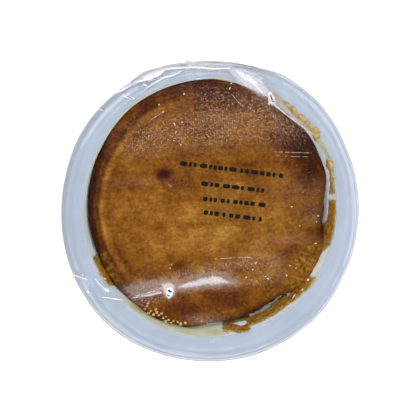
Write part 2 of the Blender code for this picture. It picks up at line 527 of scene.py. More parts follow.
def sponge_material():
    """Baked sponge soaked in toffee: the tone runs from near black at the edge to golden tan, with painted
    shade at the edge and painted light over the middle.
    """
    paint = Paint("baked_sponge")
    tone = paint.value("tone")
    for grain, change, stretch in SPONGE_MOTTLES:
        noise = paint.noise(grain * MM, 3.0, (stretch, 1.0, 1.0))
        tone = paint.math("ADD", tone, paint.spread(noise, 0.3, 0.7, -change, change))
    tone = paint.math("ADD", tone, 0.0, clamp=True)
    colour = paint.ramp(tone, SPONGE_COLOURS)
    syrup = paint.ramp(paint.noise(1.1 * MM, 3.0), SYRUP_COLOURS)
    return paint.finish(
        Base_Color=paint.blend(paint.value("sauce"), colour, syrup),
        Roughness=paint.spread(paint.noise(2.5 * MM), 0.3, 0.7, 0.35, 0.60),
        Normal=paint.bump(paint.noise(0.5 * MM, 5.0), 0.15 * MM, 0.6),
        Specular_IOR_Level=0.05, Subsurface_Weight=0.08, Subsurface_Scale=0.8 * MM,
    )


def sauce_material():
    """Toffee sauce, amber brown where it is thick and pale olive where it thins out."""
    paint = Paint("toffee_sauce")
    mottle = paint.spread(paint.noise(0.9 * MM, 4.0), 0.3, 0.7, -0.48, 0.44)
    depth = paint.math("ADD", paint.value("thickness"), mottle, clamp=True)
    return paint.finish(
        Base_Color=paint.ramp(depth, SAUCE_COLOURS),
        Normal=paint.bump(paint.noise(0.6 * MM, 4.0), 0.15 * MM, 0.6),
        Roughness=0.28, Subsurface_Weight=0.15, Subsurface_Scale=0.8 * MM,
    )


def facing_share(paint, sharpness, normal=None):
    """0 where a surface faces the eye, rising to 1 at a slant, the same from both sides."""
    facing = paint.node("ShaderNodeLayerWeight")
    facing.inputs["Blend"].default_value = 0.5
    if normal is not None:
        paint.join(normal, facing.inputs["Normal"])
    return paint.math("POWER", facing.outputs["Facing"], sharpness)


# How much more of a mirror film and water are at a full slant
SLANT_MIRROR = 0.16


def mirrored(paint, clear, roughness, least, normal=None, tint=(0.80, 0.84, 0.92)):
    """A clear shader under a mirror, whose share rises from the least toward a slant."""
    mirror = paint.node("ShaderNodeBsdfGlossy")
    mirror.inputs["Roughness"].default_value = roughness
    paint.give(mirror.inputs["Color"], tint)
    if normal is not None:
        paint.join(normal, mirror.inputs["Normal"])
    slant = paint.math("MULTIPLY", facing_share(paint, 4.0, normal), SLANT_MIRROR)
    return paint.layer(paint.math("ADD", slant, least, clamp=True), clear, mirror.outputs[0])


# How wide the grains of the film's mist are, and how white they get
GRAIN_SIZE = 0.62 * MM
GRAIN_WHITENESS = 0.46


def film_material():
    """Clear thin film: it mirrors and dims at a slant, mist and painted glare whiten it, and painted shade
    darkens it.
    """
    paint = Paint("clear_film")
    dimmed = paint.blend(facing_share(paint, 3.0), (0.985, 0.987, 0.990), (0.46, 0.49, 0.55))
    # Painted shade darkens what shows through: the folds' shadow lines, the vents' holes and the line along
    # the film's outer edge
    shaded = paint.blend(paint.value("shade"), dimmed, (0.20, 0.18, 0.22))
    clear = paint.plain_shader("ShaderNodeBsdfTransparent", shaded)
    ripples = paint.bump(paint.noise(2.2 * MM, 3.0), 0.05 * MM, 0.35)
    sheet = mirrored(paint, clear, 0.09, 0.05, ripples)

    mist = paint.spread(paint.noise(0.55 * MM, 2.0), 0.35, 0.65, 0.80, 1.15)
    # Whiteness: mist, with painted highlights and painted glare
    haze_and_painted_glare = paint.math("MULTIPLY", paint.value("haze_and_painted_glare"), mist)
    grains = paint.math("MULTIPLY", paint.grains(GRAIN_SIZE), GRAIN_WHITENESS)
    grains = paint.math("MULTIPLY", paint.value("speckle"), grains)
    hazed = paint.blend(paint.spread(haze_and_painted_glare, 0.08, 0.36), (0.84, 0.66, 0.60), (0.80, 0.80, 0.84))
    tan_share = paint.spread(paint.math("SUBTRACT", grains, haze_and_painted_glare), 0.0, 0.10)
    white = paint.plain_shader("ShaderNodeBsdfDiffuse", paint.blend(tan_share, hazed, (0.84, 0.60, 0.46)))
    whitened = paint.math("ADD", haze_and_painted_glare, grains, clamp=True)
    return paint.finish_with(paint.layer(whitened, sheet, white))


def drop_material():
    """Condensed water under the film, which catches light as pale grains."""
    paint = Paint("condensed_water")
    clear = paint.plain_shader("ShaderNodeBsdfTransparent", (0.90, 0.88, 0.88))
    water = mirrored(paint, clear, 0.12, 0.07, None, (0.86, 0.66, 0.52))
    milk = paint.plain_shader("ShaderNodeBsdfDiffuse", (0.95, 0.86, 0.80))
    cloud = paint.spread(paint.noise(1.3 * MM, 2.0), 0.35, 0.65, 0.04, 0.24)
    return paint.finish_with(paint.layer(cloud, water, milk))


def syrup_bead_material():
    """Clear golden syrup, mottled by noise from dark amber to pale gold."""
    paint = Paint("set_syrup")
    golden = paint.ramp(paint.noise(0.5 * MM), ((0.35, (0.30, 0.14, 0.02)), (0.6, (0.85, 0.60, 0.24))))
    return paint.finish(Base_Color=golden, Roughness=0.12, Subsurface_Weight=0.3, Subsurface_Scale=0.5 * MM)


def plain_material(name, colour, grain, spread, **given):
    """A surface of one hue, mottled by noise of a given grain."""
    paint = Paint(name)
    dark = tuple(channel * (1.0 - spread) for channel in colour)
    light = tuple(min(channel * (1.0 + spread), 1.0) for channel in colour)
    mottled = paint.ramp(paint.noise(grain), ((0.3, dark), (0.7, light)))
    return paint.finish(Base_Color=mottled, **given)


def pale_plastic(name, colour, alpha):
    """A pale, partly see-through surface, for scratches on the film and for drops painted pale as glints.
    """
    paint = Paint(name)
    mottled = paint.ramp(paint.noise(0.4 * MM), ((0.3, tuple(0.8 * c for c in colour)), (0.7, colour)))
    return paint.finish(Base_Color=mottled, Roughness=0.3, Alpha=alpha)


# Basin

def wall_radius(depth):
    """The basin's inner radius at a depth below its rim."""
    ledge = np.clip((depth - LEDGE_DEPTH) / LEDGE_RISE, 0.0, 1.0)
    return MOUTH_RADIUS - depth * math.tan(DRAFT) - LEDGE_STEP * ledge


def wall_run(start, end, steps, offset, rim_z):
    """Points of the wall's profile between two depths."""
    return [(wall_radius(d) + offset, rim_z - d) for d in np.linspace(start, end, steps + 1)]


def basin_profile(floor_z, rim_z, rim_radius):
    """The CAD basin's profile with its corners finely rounded."""
    height = rim_z - floor_z
    foot_z = floor_z + FOOT_RECESS
    side_depth = height - BASE_CORNER
    base_radius = wall_radius(side_depth) + WALL
    foot_radius = base_radius - FOOT_WIDTH
    foot_inner = foot_radius - FOOT_RECESS
    points = [(0.10 * foot_inner, foot_z)]
    points += line((0.10 * foot_inner, foot_z), (foot_inner, foot_z), 8) + [(foot_inner, foot_z)]
    points += line((foot_inner, foot_z), (foot_radius, floor_z), 2) + [(foot_radius, floor_z)]
    points += arc(base_radius - BASE_CORNER, floor_z + BASE_CORNER, BASE_CORNER, -90.0, 0.0, 8)
    points += wall_run(side_depth - 0.5 * MM, LEDGE_DEPTH + LEDGE_RISE, 16, WALL, rim_z)
    points += wall_run(LEDGE_DEPTH, FLANGE_THICKNESS + 0.4 * MM, 12, WALL, rim_z)

    under_z = rim_z - FLANGE_THICKNESS
    corner_r = rim_radius - SKIRT_FLARE - RIM_CORNER
    inner_corner = RIM_CORNER - FLANGE_THICKNESS
    skirt_z = rim_z - SKIRT_DROP
    lip = 0.35 * MM
    points.append((wall_radius(FLANGE_THICKNESS) + WALL + 0.4 * MM, under_z))
    points += arc(corner_r, under_z - inner_corner, inner_corner, 90.0, 0.0, 6)
    points += arc(rim_radius - FLANGE_THICKNESS + lip, skirt_z + lip, lip, 180.0, 270.0, 3)
    points += arc(rim_radius - lip, skirt_z + lip, lip, -90.0, 0.0, 3)
    points += arc(corner_r, rim_z - RIM_CORNER, RIM_CORNER, 0.0, 90.0, 14)

    mouth_r = wall_radius(MOUTH_CORNER)
    groove_r = mouth_r + MOUTH_CORNER + 0.16 * MM
    groove = 0.14 * MM
    fall_r = rim_radius - 4.2 * MM
    sag = 0.30 * MM
    points[-6:] = [(radius, height - sag * share)
                   for (radius, height), share in zip(points[-6:], np.linspace(0.1, 1.0, 6))]
    for share in np.linspace(0.1, 1.0, 7):
        radius = mix(points[-1][0], fall_r, share / 2.0)
        points.append((radius, rim_z - sag * float(1.0 - smooth_step(0.1, 1.0, share))))
    points += line(points[-1], (groove_r + groove, rim_z), 4)
    points += [(groove_r + groove, rim_z), (groove_r, rim_z - groove), (groove_r - groove, rim_z)]
    points += arc(mouth_r + MOUTH_CORNER, rim_z - MOUTH_CORNER, MOUTH_CORNER, 90.0, 180.0, 8)
    points += wall_run(MOUTH_CORNER + 0.3 * MM, LEDGE_DEPTH, 24, 0.0, rim_z)
    points += wall_run(LEDGE_DEPTH + LEDGE_RISE, side_depth - BASE_CORNER, 6, 0.0, rim_z)
    inner_floor_z = foot_z + WALL
    points += arc(wall_radius(side_depth) - BASE_CORNER, inner_floor_z + BASE_CORNER, BASE_CORNER,
                  0.0, -90.0, 5)
    points.append((0.10 * foot_inner, inner_floor_z))
    return points


def inner_wall(rings, rim_z):
    """1 on the basin's inside below its lip and 0 elsewhere."""
    radius, _ = polar(rings)
    depth = rim_z - rings[..., 2]
    inside = (radius < wall_radius(depth) + 0.3 * MM) & (depth < 45 * MM)
    return np.where(inside, smooth_step(0.15 * MM, 0.8 * MM, depth), 0.0)


def flange_edge_shade(rings, rim_z):
    """How far the flange's rounded edge is painted darker, as painted shade: at its turn down, and inward
    of it on the near left.
    """
    radius, degrees = polar(rings)
    tone = 0.10 + 0.12 * band(degrees, 150.0, 175.0, 270.0, 330.0)
    inward = smooth_step(44.0 * MM, 45.2 * MM, radius) * tone
    turn_down = 0.85 * smooth_step(46.6 * MM, 47.5 * MM, radius)
    upper = smooth_step(rim_z - 3.4 * MM, rim_z - 1.6 * MM, rings[..., 2])
    return np.maximum(inward, turn_down) * upper


def stain_and_groove_shade_on_wall(rings, rim_z):
    """How far the wall is tinted: by sauce along the near side of the mouth and a little elsewhere, and
    faintly in the groove on the near left as painted shade.
    """
    radius, degrees = polar(rings)
    depth = rim_z - rings[..., 2]
    amber = peak(degrees, 232.5, 4.0) * peak(depth, 5 * MM, 2.4 * MM)
    rest = 0.16 * smooth_step(0.0, 0.5, field(rings, 6 * MM)) * (degrees < 150.0)
    share = np.maximum(0.62 * band(degrees, 221.0, 233.0, 272.0, 284.0), rest)
    share = share * smooth_step(0.2 * MM, 2.0 * MM, depth) + 0.8 * amber
    uneven = 0.8 + 0.45 * field(rings, 2.5 * MM)
    on_top = depth < 0.8 * MM
    lip = peak(radius, MOUTH_RADIUS + 0.1 * MM, 0.45 * MM) * on_top
    lip *= band(degrees, 62.0, 78.0, 150.0, 168.0)
    lip = lip * smooth_step(-0.35, 0.35, other_field(rings, 2.2 * MM)) * 0.85
    # Painted shade: a faint tint along the groove at the lip on the near left
    groove = peak(radius, MOUTH_RADIUS + 0.45 * MM, 0.28 * MM) * on_top
    groove *= band(degrees, 150.0, 165.0, 205.0, 222.0)
    return np.clip(inner_wall(rings, rim_z) * share * uneven + lip + 0.22 * groove, 0.0, 1.0)


def brown_on_wall(rings, rim_z):
    """How far thin sauce browns the wall under the fold on the far right."""
    _, degrees = polar(rings)
    place = band(degrees, 34.0, 40.0, 58.0, 64.0)
    place = place * band(rim_z - rings[..., 2], 0.5 * MM, 1.2 * MM, 6 * MM, 9 * MM)
    return inner_wall(rings, rim_z) * place * np.clip(0.60 + 0.35 * field(rings, 1.6 * MM), 0.0, 1.0)


def make_basin(material):
    low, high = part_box("basin")
    profile = basin_profile(low.z, high.z, high.x + CLING)
    rings = turned_rings(profile, BASIN_SEGMENTS)
    angle = angles_of(BASIN_SEGMENTS)[None, :]
    warp = 0.12 * MM * np.sin(2.0 * angle + 0.7) + 0.08 * MM * np.sin(3.0 * angle + 2.0)
    # edge is painted shade on the flange's rounded edge and wall is painted light on the inner wall; the
    # others are sauce stains, with a faint painted shade in the lip's groove
    shades = {"stain_and_groove_shade": stain_and_groove_shade_on_wall, "wall": inner_wall, "edge": flange_edge_shade, "brown": brown_on_wall}
    values = {name: with_ends(shade(rings, high.z)) for name, shade in shades.items()}
    rings[..., 2] += warp * smooth_step(low.z + 5 * MM, high.z, rings[..., 2])
    rings = settle(rings)
    places, faces = capped_turn(rings, (0.0, 0.0, profile[0][1]), (0.0, 0.0, profile[-1][1]))
    piece = finish_piece("basin_wall", places, faces, material, values)
    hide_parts("basin")
    return piece


# Sponge

def sponge_edge():
    return wall_radius(SPONGE_EDGE_DEPTH) - SPONGE_CLEARANCE


def sponge_height(radius, rim_z):
    """The sponge's top before its crumb: a rounded shoulder, a dished ring and a low crown."""
    edge = sponge_edge()
    edge_z = rim_z - SPONGE_EDGE_DEPTH
    inset = edge - radius
    along = np.clip(inset / SHOULDER_INSET, 0.0, 1.0)
    shoulder = SHOULDER_RISE * np.sqrt(1.0 - (1.0 - along) ** 2)
    dish = DISH_DROP * peak(inset, DISH_INSET, SHOULDER_INSET)
    crown = (CROWN_RISE - SHOULDER_RISE) * (1.0 - (radius / (edge - SHOULDER_INSET)) ** 2)
    return edge_z + shoulder + np.where(inset > SHOULDER_INSET, crown - dish, 0.0)


# Lighter and darker places of the sponge's top: pixel, radii in pixels, change of tone. The broad lighter
# places over the middle are a painted pool of light, the darker places toward the edges are painted shade,
# and the small dark spots are the sponge's own
SPONGE_PATCHES_AND_PAINTED_LIGHT = (
    ((180.0, 232.0), (66.0, 46.0), 0.16),
    ((250.0, 212.0), (50.0, 40.0), 0.14),
    ((226.0, 244.0), (46.0, 16.0), 0.08),
    ((205.0, 86.0), (44.0, 14.0), -0.34),
    ((216.0, 100.0), (22.0, 10.0), -0.12),
    ((250.0, 96.0), (34.0, 14.0), -0.14),
    ((128.0, 122.0), (24.0, 24.0), -0.08),
    ((150.0, 100.0), (20.0, 10.0), -0.10),
    ((300.0, 140.0), (22.0, 24.0), -0.40),
    ((312.0, 168.0), (14.0, 24.0), -0.38),
    ((316.0, 205.0), (14.0, 26.0), -0.10),
    ((310.0, 236.0), (14.0, 10.0), -0.14),
    ((200.0, 312.0), (50.0, 14.0), -0.14),
    ((140.0, 296.0), (24.0, 12.0), -0.18),
    ((236.0, 306.0), (22.0, 12.0), -0.16),
    ((110.0, 262.0), (12.0, 26.0), -0.14),
    ((292.0, 254.0), (16.0, 7.0), -0.10),
    ((165.6, 176.8), (7.0, 5.5), -0.62),
    ((161.6, 178.8), (4.0, 3.0), -0.30),
    ((174.6, 175.3), (5.0, 7.0), -0.14),
    ((179.0, 269.5), (6.0, 3.4), -0.34),
    ((172.0, 262.0), (10.0, 3.0), -0.10),
)
# Arcs on its left side: inset from the edge, width, change of tone
TONE_ARCS = (
    (3.0 * MM, 0.4 * MM, -0.16),
    (4.5 * MM, 0.9 * MM, 0.17),
    (6.4 * MM, 0.7 * MM, -0.08),
)
# Where sauce lies on the sponge: pixel, radii in pixels, share
SAUCE_PATCHES = (
    ((316.0, 252.0), (12.0, 7.0), 0.80),
    ((307.0, 266.0), (11.0, 13.0), 1.00),
    ((298.0, 284.0), (14.0, 9.0), 0.85),
    ((282.0, 298.0), (14.0, 7.0), 0.60),
    ((290.0, 228.0), (22.0, 14.0), 0.40),
    ((262.0, 284.0), (20.0, 8.0), 0.45),
    ((232.0, 318.0), (14.0, 5.0), 0.75),
    ((240.0, 288.0), (26.0, 5.0), 0.35),
    ((104.6, 263.0), (4.6, 7.0), 0.95),
    ((110.0, 274.0), (5.0, 7.0), 0.95),
    ((115.0, 285.0), (5.0, 4.0), 0.60),
    ((150.0, 312.0), (9.0, 3.0), 0.50),
    ((229.0, 80.0), (7.0, 4.0), 0.55),
    ((262.0, 130.0), (26.0, 16.0), 0.22),
    ((150.0, 150.0), (26.0, 14.0), 0.16),
    ((128.0, 150.0), (7.0, 34.0), 0.24),
)


def patch_shape(camera, places, pixel, radii_px):
    """A soft oval spot on the top, 1 at the place that shows at a pixel."""
    centre = at_height(camera, pixel, places[..., 2].max())
    offset = (places[..., :2] - centre[:2]) / (np.array(radii_px) * PIXEL)
    return np.exp(-(offset ** 2).sum(axis=-1))


def sponge_tone_and_painted_light(camera, places, inset, crumb):
    """The sponge's tone at each point: a soaked edge darkened further as painted shade, near black on the
    left as a painted shadow in the gap to the wall, and a golden middle.
    """
    _, degrees = polar(places)
    left = band(degrees, 138.0, 158.0, 205.0, 232.0)
    upper_left = band(degrees, 100.0, 118.0, 150.0, 172.0)
    arcs = np.maximum(left, upper_left)
    wobble = 0.25 * MM * field(places, 2.4 * MM)
    # Painted shade: the edge darker than the soaked crust alone, and near black on the left as the shadow
    # of the gap to the wall
    edge = mix(mix(0.46, 0.34, upper_left), 0.14, left)
    start, reach = mix(0.1 * MM, 1.3 * MM, left), mix(1.5 * MM, 2.3 * MM, left)
    body = mix(0.56, 0.42, arcs * (1.0 - smooth_step(2.6 * MM, 4.2 * MM, inset)))
    tone = mix(edge, body, smooth_step(start, reach, inset + wobble))
    for middle, width, change in TONE_ARCS:
        tone = tone + change * arcs * peak(inset + wobble, middle, width)
    # Painted light and shade: lighter over the middle, darker toward the edges, besides the sponge's own
    # spots
    for pixel, radii_px, change in SPONGE_PATCHES_AND_PAINTED_LIGHT:
        tone = tone + change * patch_shape(camera, places, pixel, radii_px)
    return np.clip(tone + 0.10 * crumb, 0.0, 1.0)


def sauce_share(camera, places):
    """How far sauce covers the sponge at each point."""
    share = np.zeros(places.shape[:-1])
    for pixel, radii_px, most in SAUCE_PATCHES:
        share = np.maximum(share, most * patch_shape(camera, places, pixel, radii_px))
    ragged = 0.75 + 0.5 * field(places, 2.0 * MM) + 0.35 * other_field(places, 0.9 * MM)
    return np.clip(share * ragged, 0.0, 1.0)


# Where the sponge climbs the wall: bearings between which it does, how far out it reaches, and its
# rises, each with the insets from the edge where it starts to fall and where it ends, in millimetres
EDGE_CLIMBS = (
    ((44.0, 78.0, 130.0, 170.0), 0.45, ((4.2, 1.5, 12.0), (1.8, 0.0, 3.2), (2.6, 0.0, 1.8))),
    ((306.0, 322.0, 338.0, 352.0), 1.2, ((3.0, 0.0, 4.0), (1.6, 0.0, 1.6))),
    ((2.0, 14.0, 34.0, 50.0), 0.7, ((3.0, 0.0, 3.4),)),
    ((202.0, 216.0, 260.0, 274.0), 0.5, ((3.4, 0.0, 3.4),)),
)
# How far into the wall's thickness a point of the sponge may reach
WALL_BITE = 0.6 * MM


def sponge_profile(low_z, rim_z):
    """The sponge from its underside up over its top, and how many points lie below the top."""
    edge = sponge_edge()
    side_depth = rim_z - low_z - BASE_CORNER
    corner_r = wall_radius(side_depth) - SPONGE_CLEARANCE
    profile = [(2 * MM, low_z), (10 * MM, low_z)]
    profile += arc(corner_r - BASE_CORNER, low_z + BASE_CORNER, BASE_CORNER, -90.0, 0.0, 4)
    profile += wall_run(LEDGE_DEPTH + LEDGE_RISE, LEDGE_DEPTH, 3, -SPONGE_CLEARANCE, rim_z)
    profile += wall_run(LEDGE_DEPTH - 1 * MM, SPONGE_EDGE_DEPTH + 0.5 * MM, 12, -SPONGE_CLEARANCE, rim_z)
    side = len(profile)
    shoulder = SHOULDER_INSET * (1.0 - np.sin(np.linspace(0.0, math.pi / 2.0, 16)))
    crown = np.arange(SHOULDER_INSET + 0.2 * MM, edge, 0.28 * MM)
    insets = np.concatenate((shoulder[::-1], crown))
    profile += [(edge - inset, float(sponge_height(edge - inset, rim_z))) for inset in insets]
    return profile, side


def climb_wall(rings, inset, top, rim_z):
    """Raises the sponge's edge where it climbs the wall, and carries it out to the wall there."""
    _, degrees = polar(rings)
    rise = np.zeros(inset.shape)
    reach = np.zeros(inset.shape)
    for bearings, outward, rises in EDGE_CLIMBS:
        share = band(degrees, *bearings)
        reach += outward * MM * share * top
        for height, start, end in rises:
            rise += height * MM * share * (1.0 - smooth_step(start * MM, end * MM, inset)) * top
    push_out(rings, (rise * math.tan(DRAFT) + reach) * (1.0 - smooth_step(0.0, 5 * MM, inset)))
    rings[..., 2] += rise
    radius, _ = polar(rings)
    most = wall_radius(rim_z - rings[..., 2]) + WALL_BITE
    rings[..., :2] *= np.minimum(1.0, most / np.maximum(radius, MM))[..., None]


def make_sponge(camera, material, rim_z):
    low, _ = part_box("sponge")
    profile, side = sponge_profile(low.z, rim_z)
    rings = turned_rings(profile, SPONGE_SEGMENTS)
    radius, _ = polar(rings)
    inset = sponge_edge() - radius
    top = (np.arange(len(profile)) >= side)[:, None] * smooth_step(0.0, 3 * MM, radius)
    crumb = 0.6 * field(rings, 2.6 * MM) + 0.4 * other_field(rings, 1.1 * MM)
    lumps = 0.28 * MM * field(rings, 7.5 * MM) + 0.10 * MM * other_field(rings, 3.2 * MM)
    pits = smooth_step(0.30, 0.62, other_field(rings, 1.5 * MM)) * 0.22 * MM
    rings[..., 2] += (lumps + 0.07 * MM * crumb - pits) * top
    crags = 0.25 * MM * field(rings, 2.2 * MM) + 0.15 * MM * other_field(rings, 0.9 * MM)
    push_out(rings, crags * (1.0 - smooth_step(0.5 * MM, SHOULDER_INSET, inset)) * top)
    climb_wall(rings, inset, top, rim_z)

    rings = settle(rings + SPONGE_SHIFT)
    tone = np.where(top > 0.0, sponge_tone_and_painted_light(camera, rings, inset, crumb), 0.12)
    sauce = sauce_share(camera, rings) * (top > 0.0)
    wet = 0.22 * MM * other_field(rings, 1.0 * MM) + 0.30 * MM * field(rings, 2.1 * MM)
    rings[..., 2] += sauce * (0.25 * MM + wet)
    places, faces = capped_turn(rings, (0.0, 0.0, low.z), (*SPONGE_SHIFT[:2], rings[-1, :, 2].mean()))
    values = {
        "tone": with_ends(tone, 0.12, tone[-1].mean()),
        "sauce": with_ends(sauce, 0.0, sauce[-1].mean()),
    }
    piece = finish_piece("sponge_crumb", places, faces, material, values)
    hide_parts("sponge")
    return piece


# Toffee smears on the wall and the lip: outlines in pixels, and bare places inside them
SMEAR_OUTLINES = {
    "toffee_smear_right": (
        (328.4, 199.6), (336.0, 200.2), (335.8, 207.0), (335.4, 218.6), (334.8, 229.8), (333.2, 236.5),
        (331.2, 241.5), (330.0, 244.8), (325.8, 248.9), (320.7, 253.8), (317.0, 259.0), (314.0, 264.0),
        (311.0, 270.0), (308.8, 276.0), (300.0, 282.0), (296.0, 274.0), (302.0, 262.0), (304.0, 250.0),
        (313.0, 244.6), (320.5, 242.0), (321.0, 235.9), (321.6, 229.8), (323.6, 224.2), (327.3, 218.6),
        (328.2, 213.0), (328.8, 206.3),
    ),
    "toffee_smear_upper_right": (
        (329.0, 193.8), (335.2, 193.2), (335.6, 181.2), (334.6, 173.6), (334.2, 164.0), (333.0, 158.3),
        (329.6, 154.0), (327.2, 148.6), (323.2, 143.6), (321.9, 138.9), (320.6, 132.2), (316.8, 127.7),
        (310.6, 122.4), (303.0, 115.4), (294.9, 108.4), (285.8, 101.8), (271.8, 91.0), (271.4, 92.6),
        (281.0, 102.0), (288.6, 108.0), (294.0, 114.4), (300.0, 119.4), (306.0, 127.0), (312.6, 134.0),
        (314.6, 140.2), (319.6, 142.4), (322.2, 148.4), (325.6, 154.6), (327.6, 157.4), (326.2, 167.0),
        (329.6, 170.6), (330.4, 181.2),
    ),
    "toffee_smear_lower_right": (
        (315.8, 277.6), (314.0, 283.6), (311.0, 287.4), (300.3, 295.4), (288.9, 304.4), (273.6, 315.2),
        (262.8, 321.3), (251.4, 326.0), (248.4, 332.6), (240.7, 333.2), (232.0, 331.0), (223.4, 331.4),
        (222.8, 323.0), (229.0, 317.6), (238.0, 315.4), (247.6, 315.6), (258.0, 311.0), (272.0, 304.0),
        (283.4, 294.4), (293.0, 287.0), (301.0, 279.6), (308.6, 275.6),
    ),
    "toffee_smear_lower_left": (
        (91.6, 257.6), (95.6, 267.4), (100.0, 276.6), (104.6, 284.8), (107.6, 288.0), (110.6, 285.6),
        (114.6, 285.0), (111.4, 279.5), (110.8, 273.2), (105.8, 266.8), (101.4, 261.0), (99.2, 255.6),
        (96.0, 254.4),
    ),
}
SMEAR_HOLES = {
    "toffee_smear_lower_right": (
        ((284.3, 293.6), (287.4, 290.6), (291.4, 293.4), (288.0, 295.8)),
        ((248.6, 314.8), (258.0, 311.6), (271.0, 303.6), (272.4, 305.0), (262.0, 311.4), (250.8, 316.8)),
        ((234.0, 323.6), (240.0, 320.4), (246.6, 321.0), (246.4, 325.0), (241.0, 326.2)),
    ),
}
# How deep a thinner smear's colour is
SMEAR_DEPTHS = {"toffee_smear_upper_right": 0.45}
# The step of a smear's grid, and how high its thick sauce stands
SMEAR_STEP = 0.18 * MM
SMEAR_HEIGHT = 0.75 * MM


def lip_path(rim_z):
    """Travel, radius and height along the rim, over its inner corner and down the wall."""
    mouth_r = wall_radius(MOUTH_CORNER)
    corner = arc(mouth_r + MOUTH_CORNER, rim_z - MOUTH_CORNER, MOUTH_CORNER, 90.0, 180.0, 8)
    points = [(mouth_r + 4 * MM, rim_z), *corner]
    points += wall_run(MOUTH_CORNER + 0.2 * MM, 16 * MM, 12, 0.0, rim_z)
    points = np.array(points)
    travel = np.concatenate(((0.0,), np.cumsum(np.linalg.norm(np.diff(points, axis=0), axis=1))))
    start = travel[5]
    return travel - start, points


def on_wall(angle, travel, lift, rim_z):
    """Points on the basin's inside, at an angle, a travel down from its lip and a lift off it."""
    travels, points = lip_path(rim_z)
    radius = np.interp(travel, travels, points[:, 0])
    height = np.interp(travel, travels, points[:, 1])
    ahead = travel + 0.1 * MM
    run_r = np.interp(ahead, travels, points[:, 0]) - radius
    run_z = np.interp(ahead, travels, points[:, 1]) - height
    size = np.maximum(np.hypot(run_r, run_z), 1e-9)
    radius = radius + lift * run_z / size
    height = height - lift * run_r / size
    return np.stack((radius * np.cos(angle), radius * np.sin(angle), height), axis=-1)


def wall_spot(camera, pixel, rim_z):
    """The angle, as a length of arc, and the travel down the wall of what shows at a pixel."""
    travels, points = lip_path(rim_z)

    def seen(height):
        place = unsettle(at_height(camera, pixel, height))
        return place, math.hypot(place[0], place[1])

    place, radius = seen(points[0][1])
    if radius > wall_radius(MOUTH_CORNER) + MOUTH_CORNER:
        travel = np.interp(-radius, -points[:2, 0], travels[:2])
    else:
        gaps = [seen(height)[1] - radius for radius, height in points]
        index = next((i for i in range(1, len(gaps)) if gaps[i] >= 0.0), len(gaps) - 1)
        before, after = gaps[index - 1], gaps[index]
        share = np.clip(before / (before - after), 0.0, 1.0) if before != after else 0.0
        travel = mix(travels[index - 1], travels[index], share)
        place, _ = seen(mix(points[index - 1][1], points[index][1], share))
    return math.atan2(place[1], place[0]) * MOUTH_RADIUS, travel


def outline_depth(spots, outline):
    """How deep each flat point lies inside a closed outline, and less than 0 outside it."""
    outline = np.asarray(outline)
    inside = np.zeros(spots.shape[:-1], dtype=bool)
    nearest = np.full(spots.shape[:-1], 1e9)
    for start, end in zip(outline, np.roll(outline, -1, axis=0)):
        run = end - start
        share = np.clip(((spots - start) @ run) / (run @ run), 0.0, 1.0)
        nearest = np.minimum(nearest, np.linalg.norm(spots - (start + share[..., None] * run), axis=-1))
        crosses = (start[1] > spots[..., 1]) != (end[1] > spots[..., 1])
        slope = (spots[..., 1] - start[1]) / (run[1] if run[1] else 1e-12)
        inside ^= crosses & (spots[..., 0] < start[0] + slope * run[0])
    return np.where(inside, nearest, -nearest)


def make_smear(camera, node, material, rim_z):
    """An uneven pat of sauce, thinned to nothing at its ragged edge."""
    outline = np.array([wall_spot(camera, pixel, rim_z) for pixel in SMEAR_OUTLINES[node]])
    if np.ptp(outline[:, 0]) > 3.0 * MOUTH_RADIUS:
        outline[:, 0] %= math.tau * MOUTH_RADIUS
    low, high = outline.min(axis=0) - MM, outline.max(axis=0) + MM
    across, travel = np.meshgrid(np.arange(low[0], high[0], SMEAR_STEP),
                                 np.arange(low[1], high[1], SMEAR_STEP), indexing="ij")
    angle = across / MOUTH_RADIUS
    flat = on_wall(angle, travel, 0.0, rim_z)
    spots = np.stack((across, travel), axis=-1)
    inside = outline_depth(spots, outline)
    for hole in SMEAR_HOLES.get(node, ()):
        bare = np.array([wall_spot(camera, pixel, rim_z) for pixel in hole])
        inside = np.minimum(inside, -outline_depth(spots, bare))
    inside += 0.15 * MM + 0.38 * MM * other_field(flat, 1.5 * MM) + 0.30 * MM * field(flat, 0.6 * MM)
    swell = smooth_step(0.0, 1.5 * MM, inside)
    lumps = (0.70 + 0.35 * field(flat, 1.8 * MM)) * (0.85 + 0.3 * other_field(flat, 0.8 * MM))
    thickness = swell * lumps
    places = settle(on_wall(angle, travel, 0.03 * MM + thickness * SMEAR_HEIGHT, rim_z))
    corners = inside > 0.0
    keep = corners[:-1, :-1] & corners[1:, :-1] & corners[1:, 1:] & corners[:-1, 1:]
    faces = grid_faces(*corners.shape, False, keep)
    depth = np.clip(thickness, 0.0, 1.0) * SMEAR_DEPTHS.get(node, 1.0)
    piece = finish_piece(node + "_pat", places, faces, material, {"thickness": depth})
    clean_up(piece)
    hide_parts(node)
    return piece


def clean_up(piece, merged=False):
    """Drops loose points, and joins points that lie at the same place where asked."""
    bm = bmesh.new()
    bm.from_mesh(piece.data)
    if merged:
        bmesh.ops.remove_doubles(bm, verts=bm.verts[:], dist=0.001 * MM)
    bmesh.ops.delete(bm, geom=[vert for vert in bm.verts if not vert.link_faces], context="VERTS")
    bm.to_mesh(piece.data)
    bm.free()


# Film

def film_height(radius, rim_z):
    across = np.minimum(radius / MOUTH_RADIUS, 1.0)
    return rim_z + GAP - FILM_DIP * np.cos(math.pi / 2.0 * across) ** 2


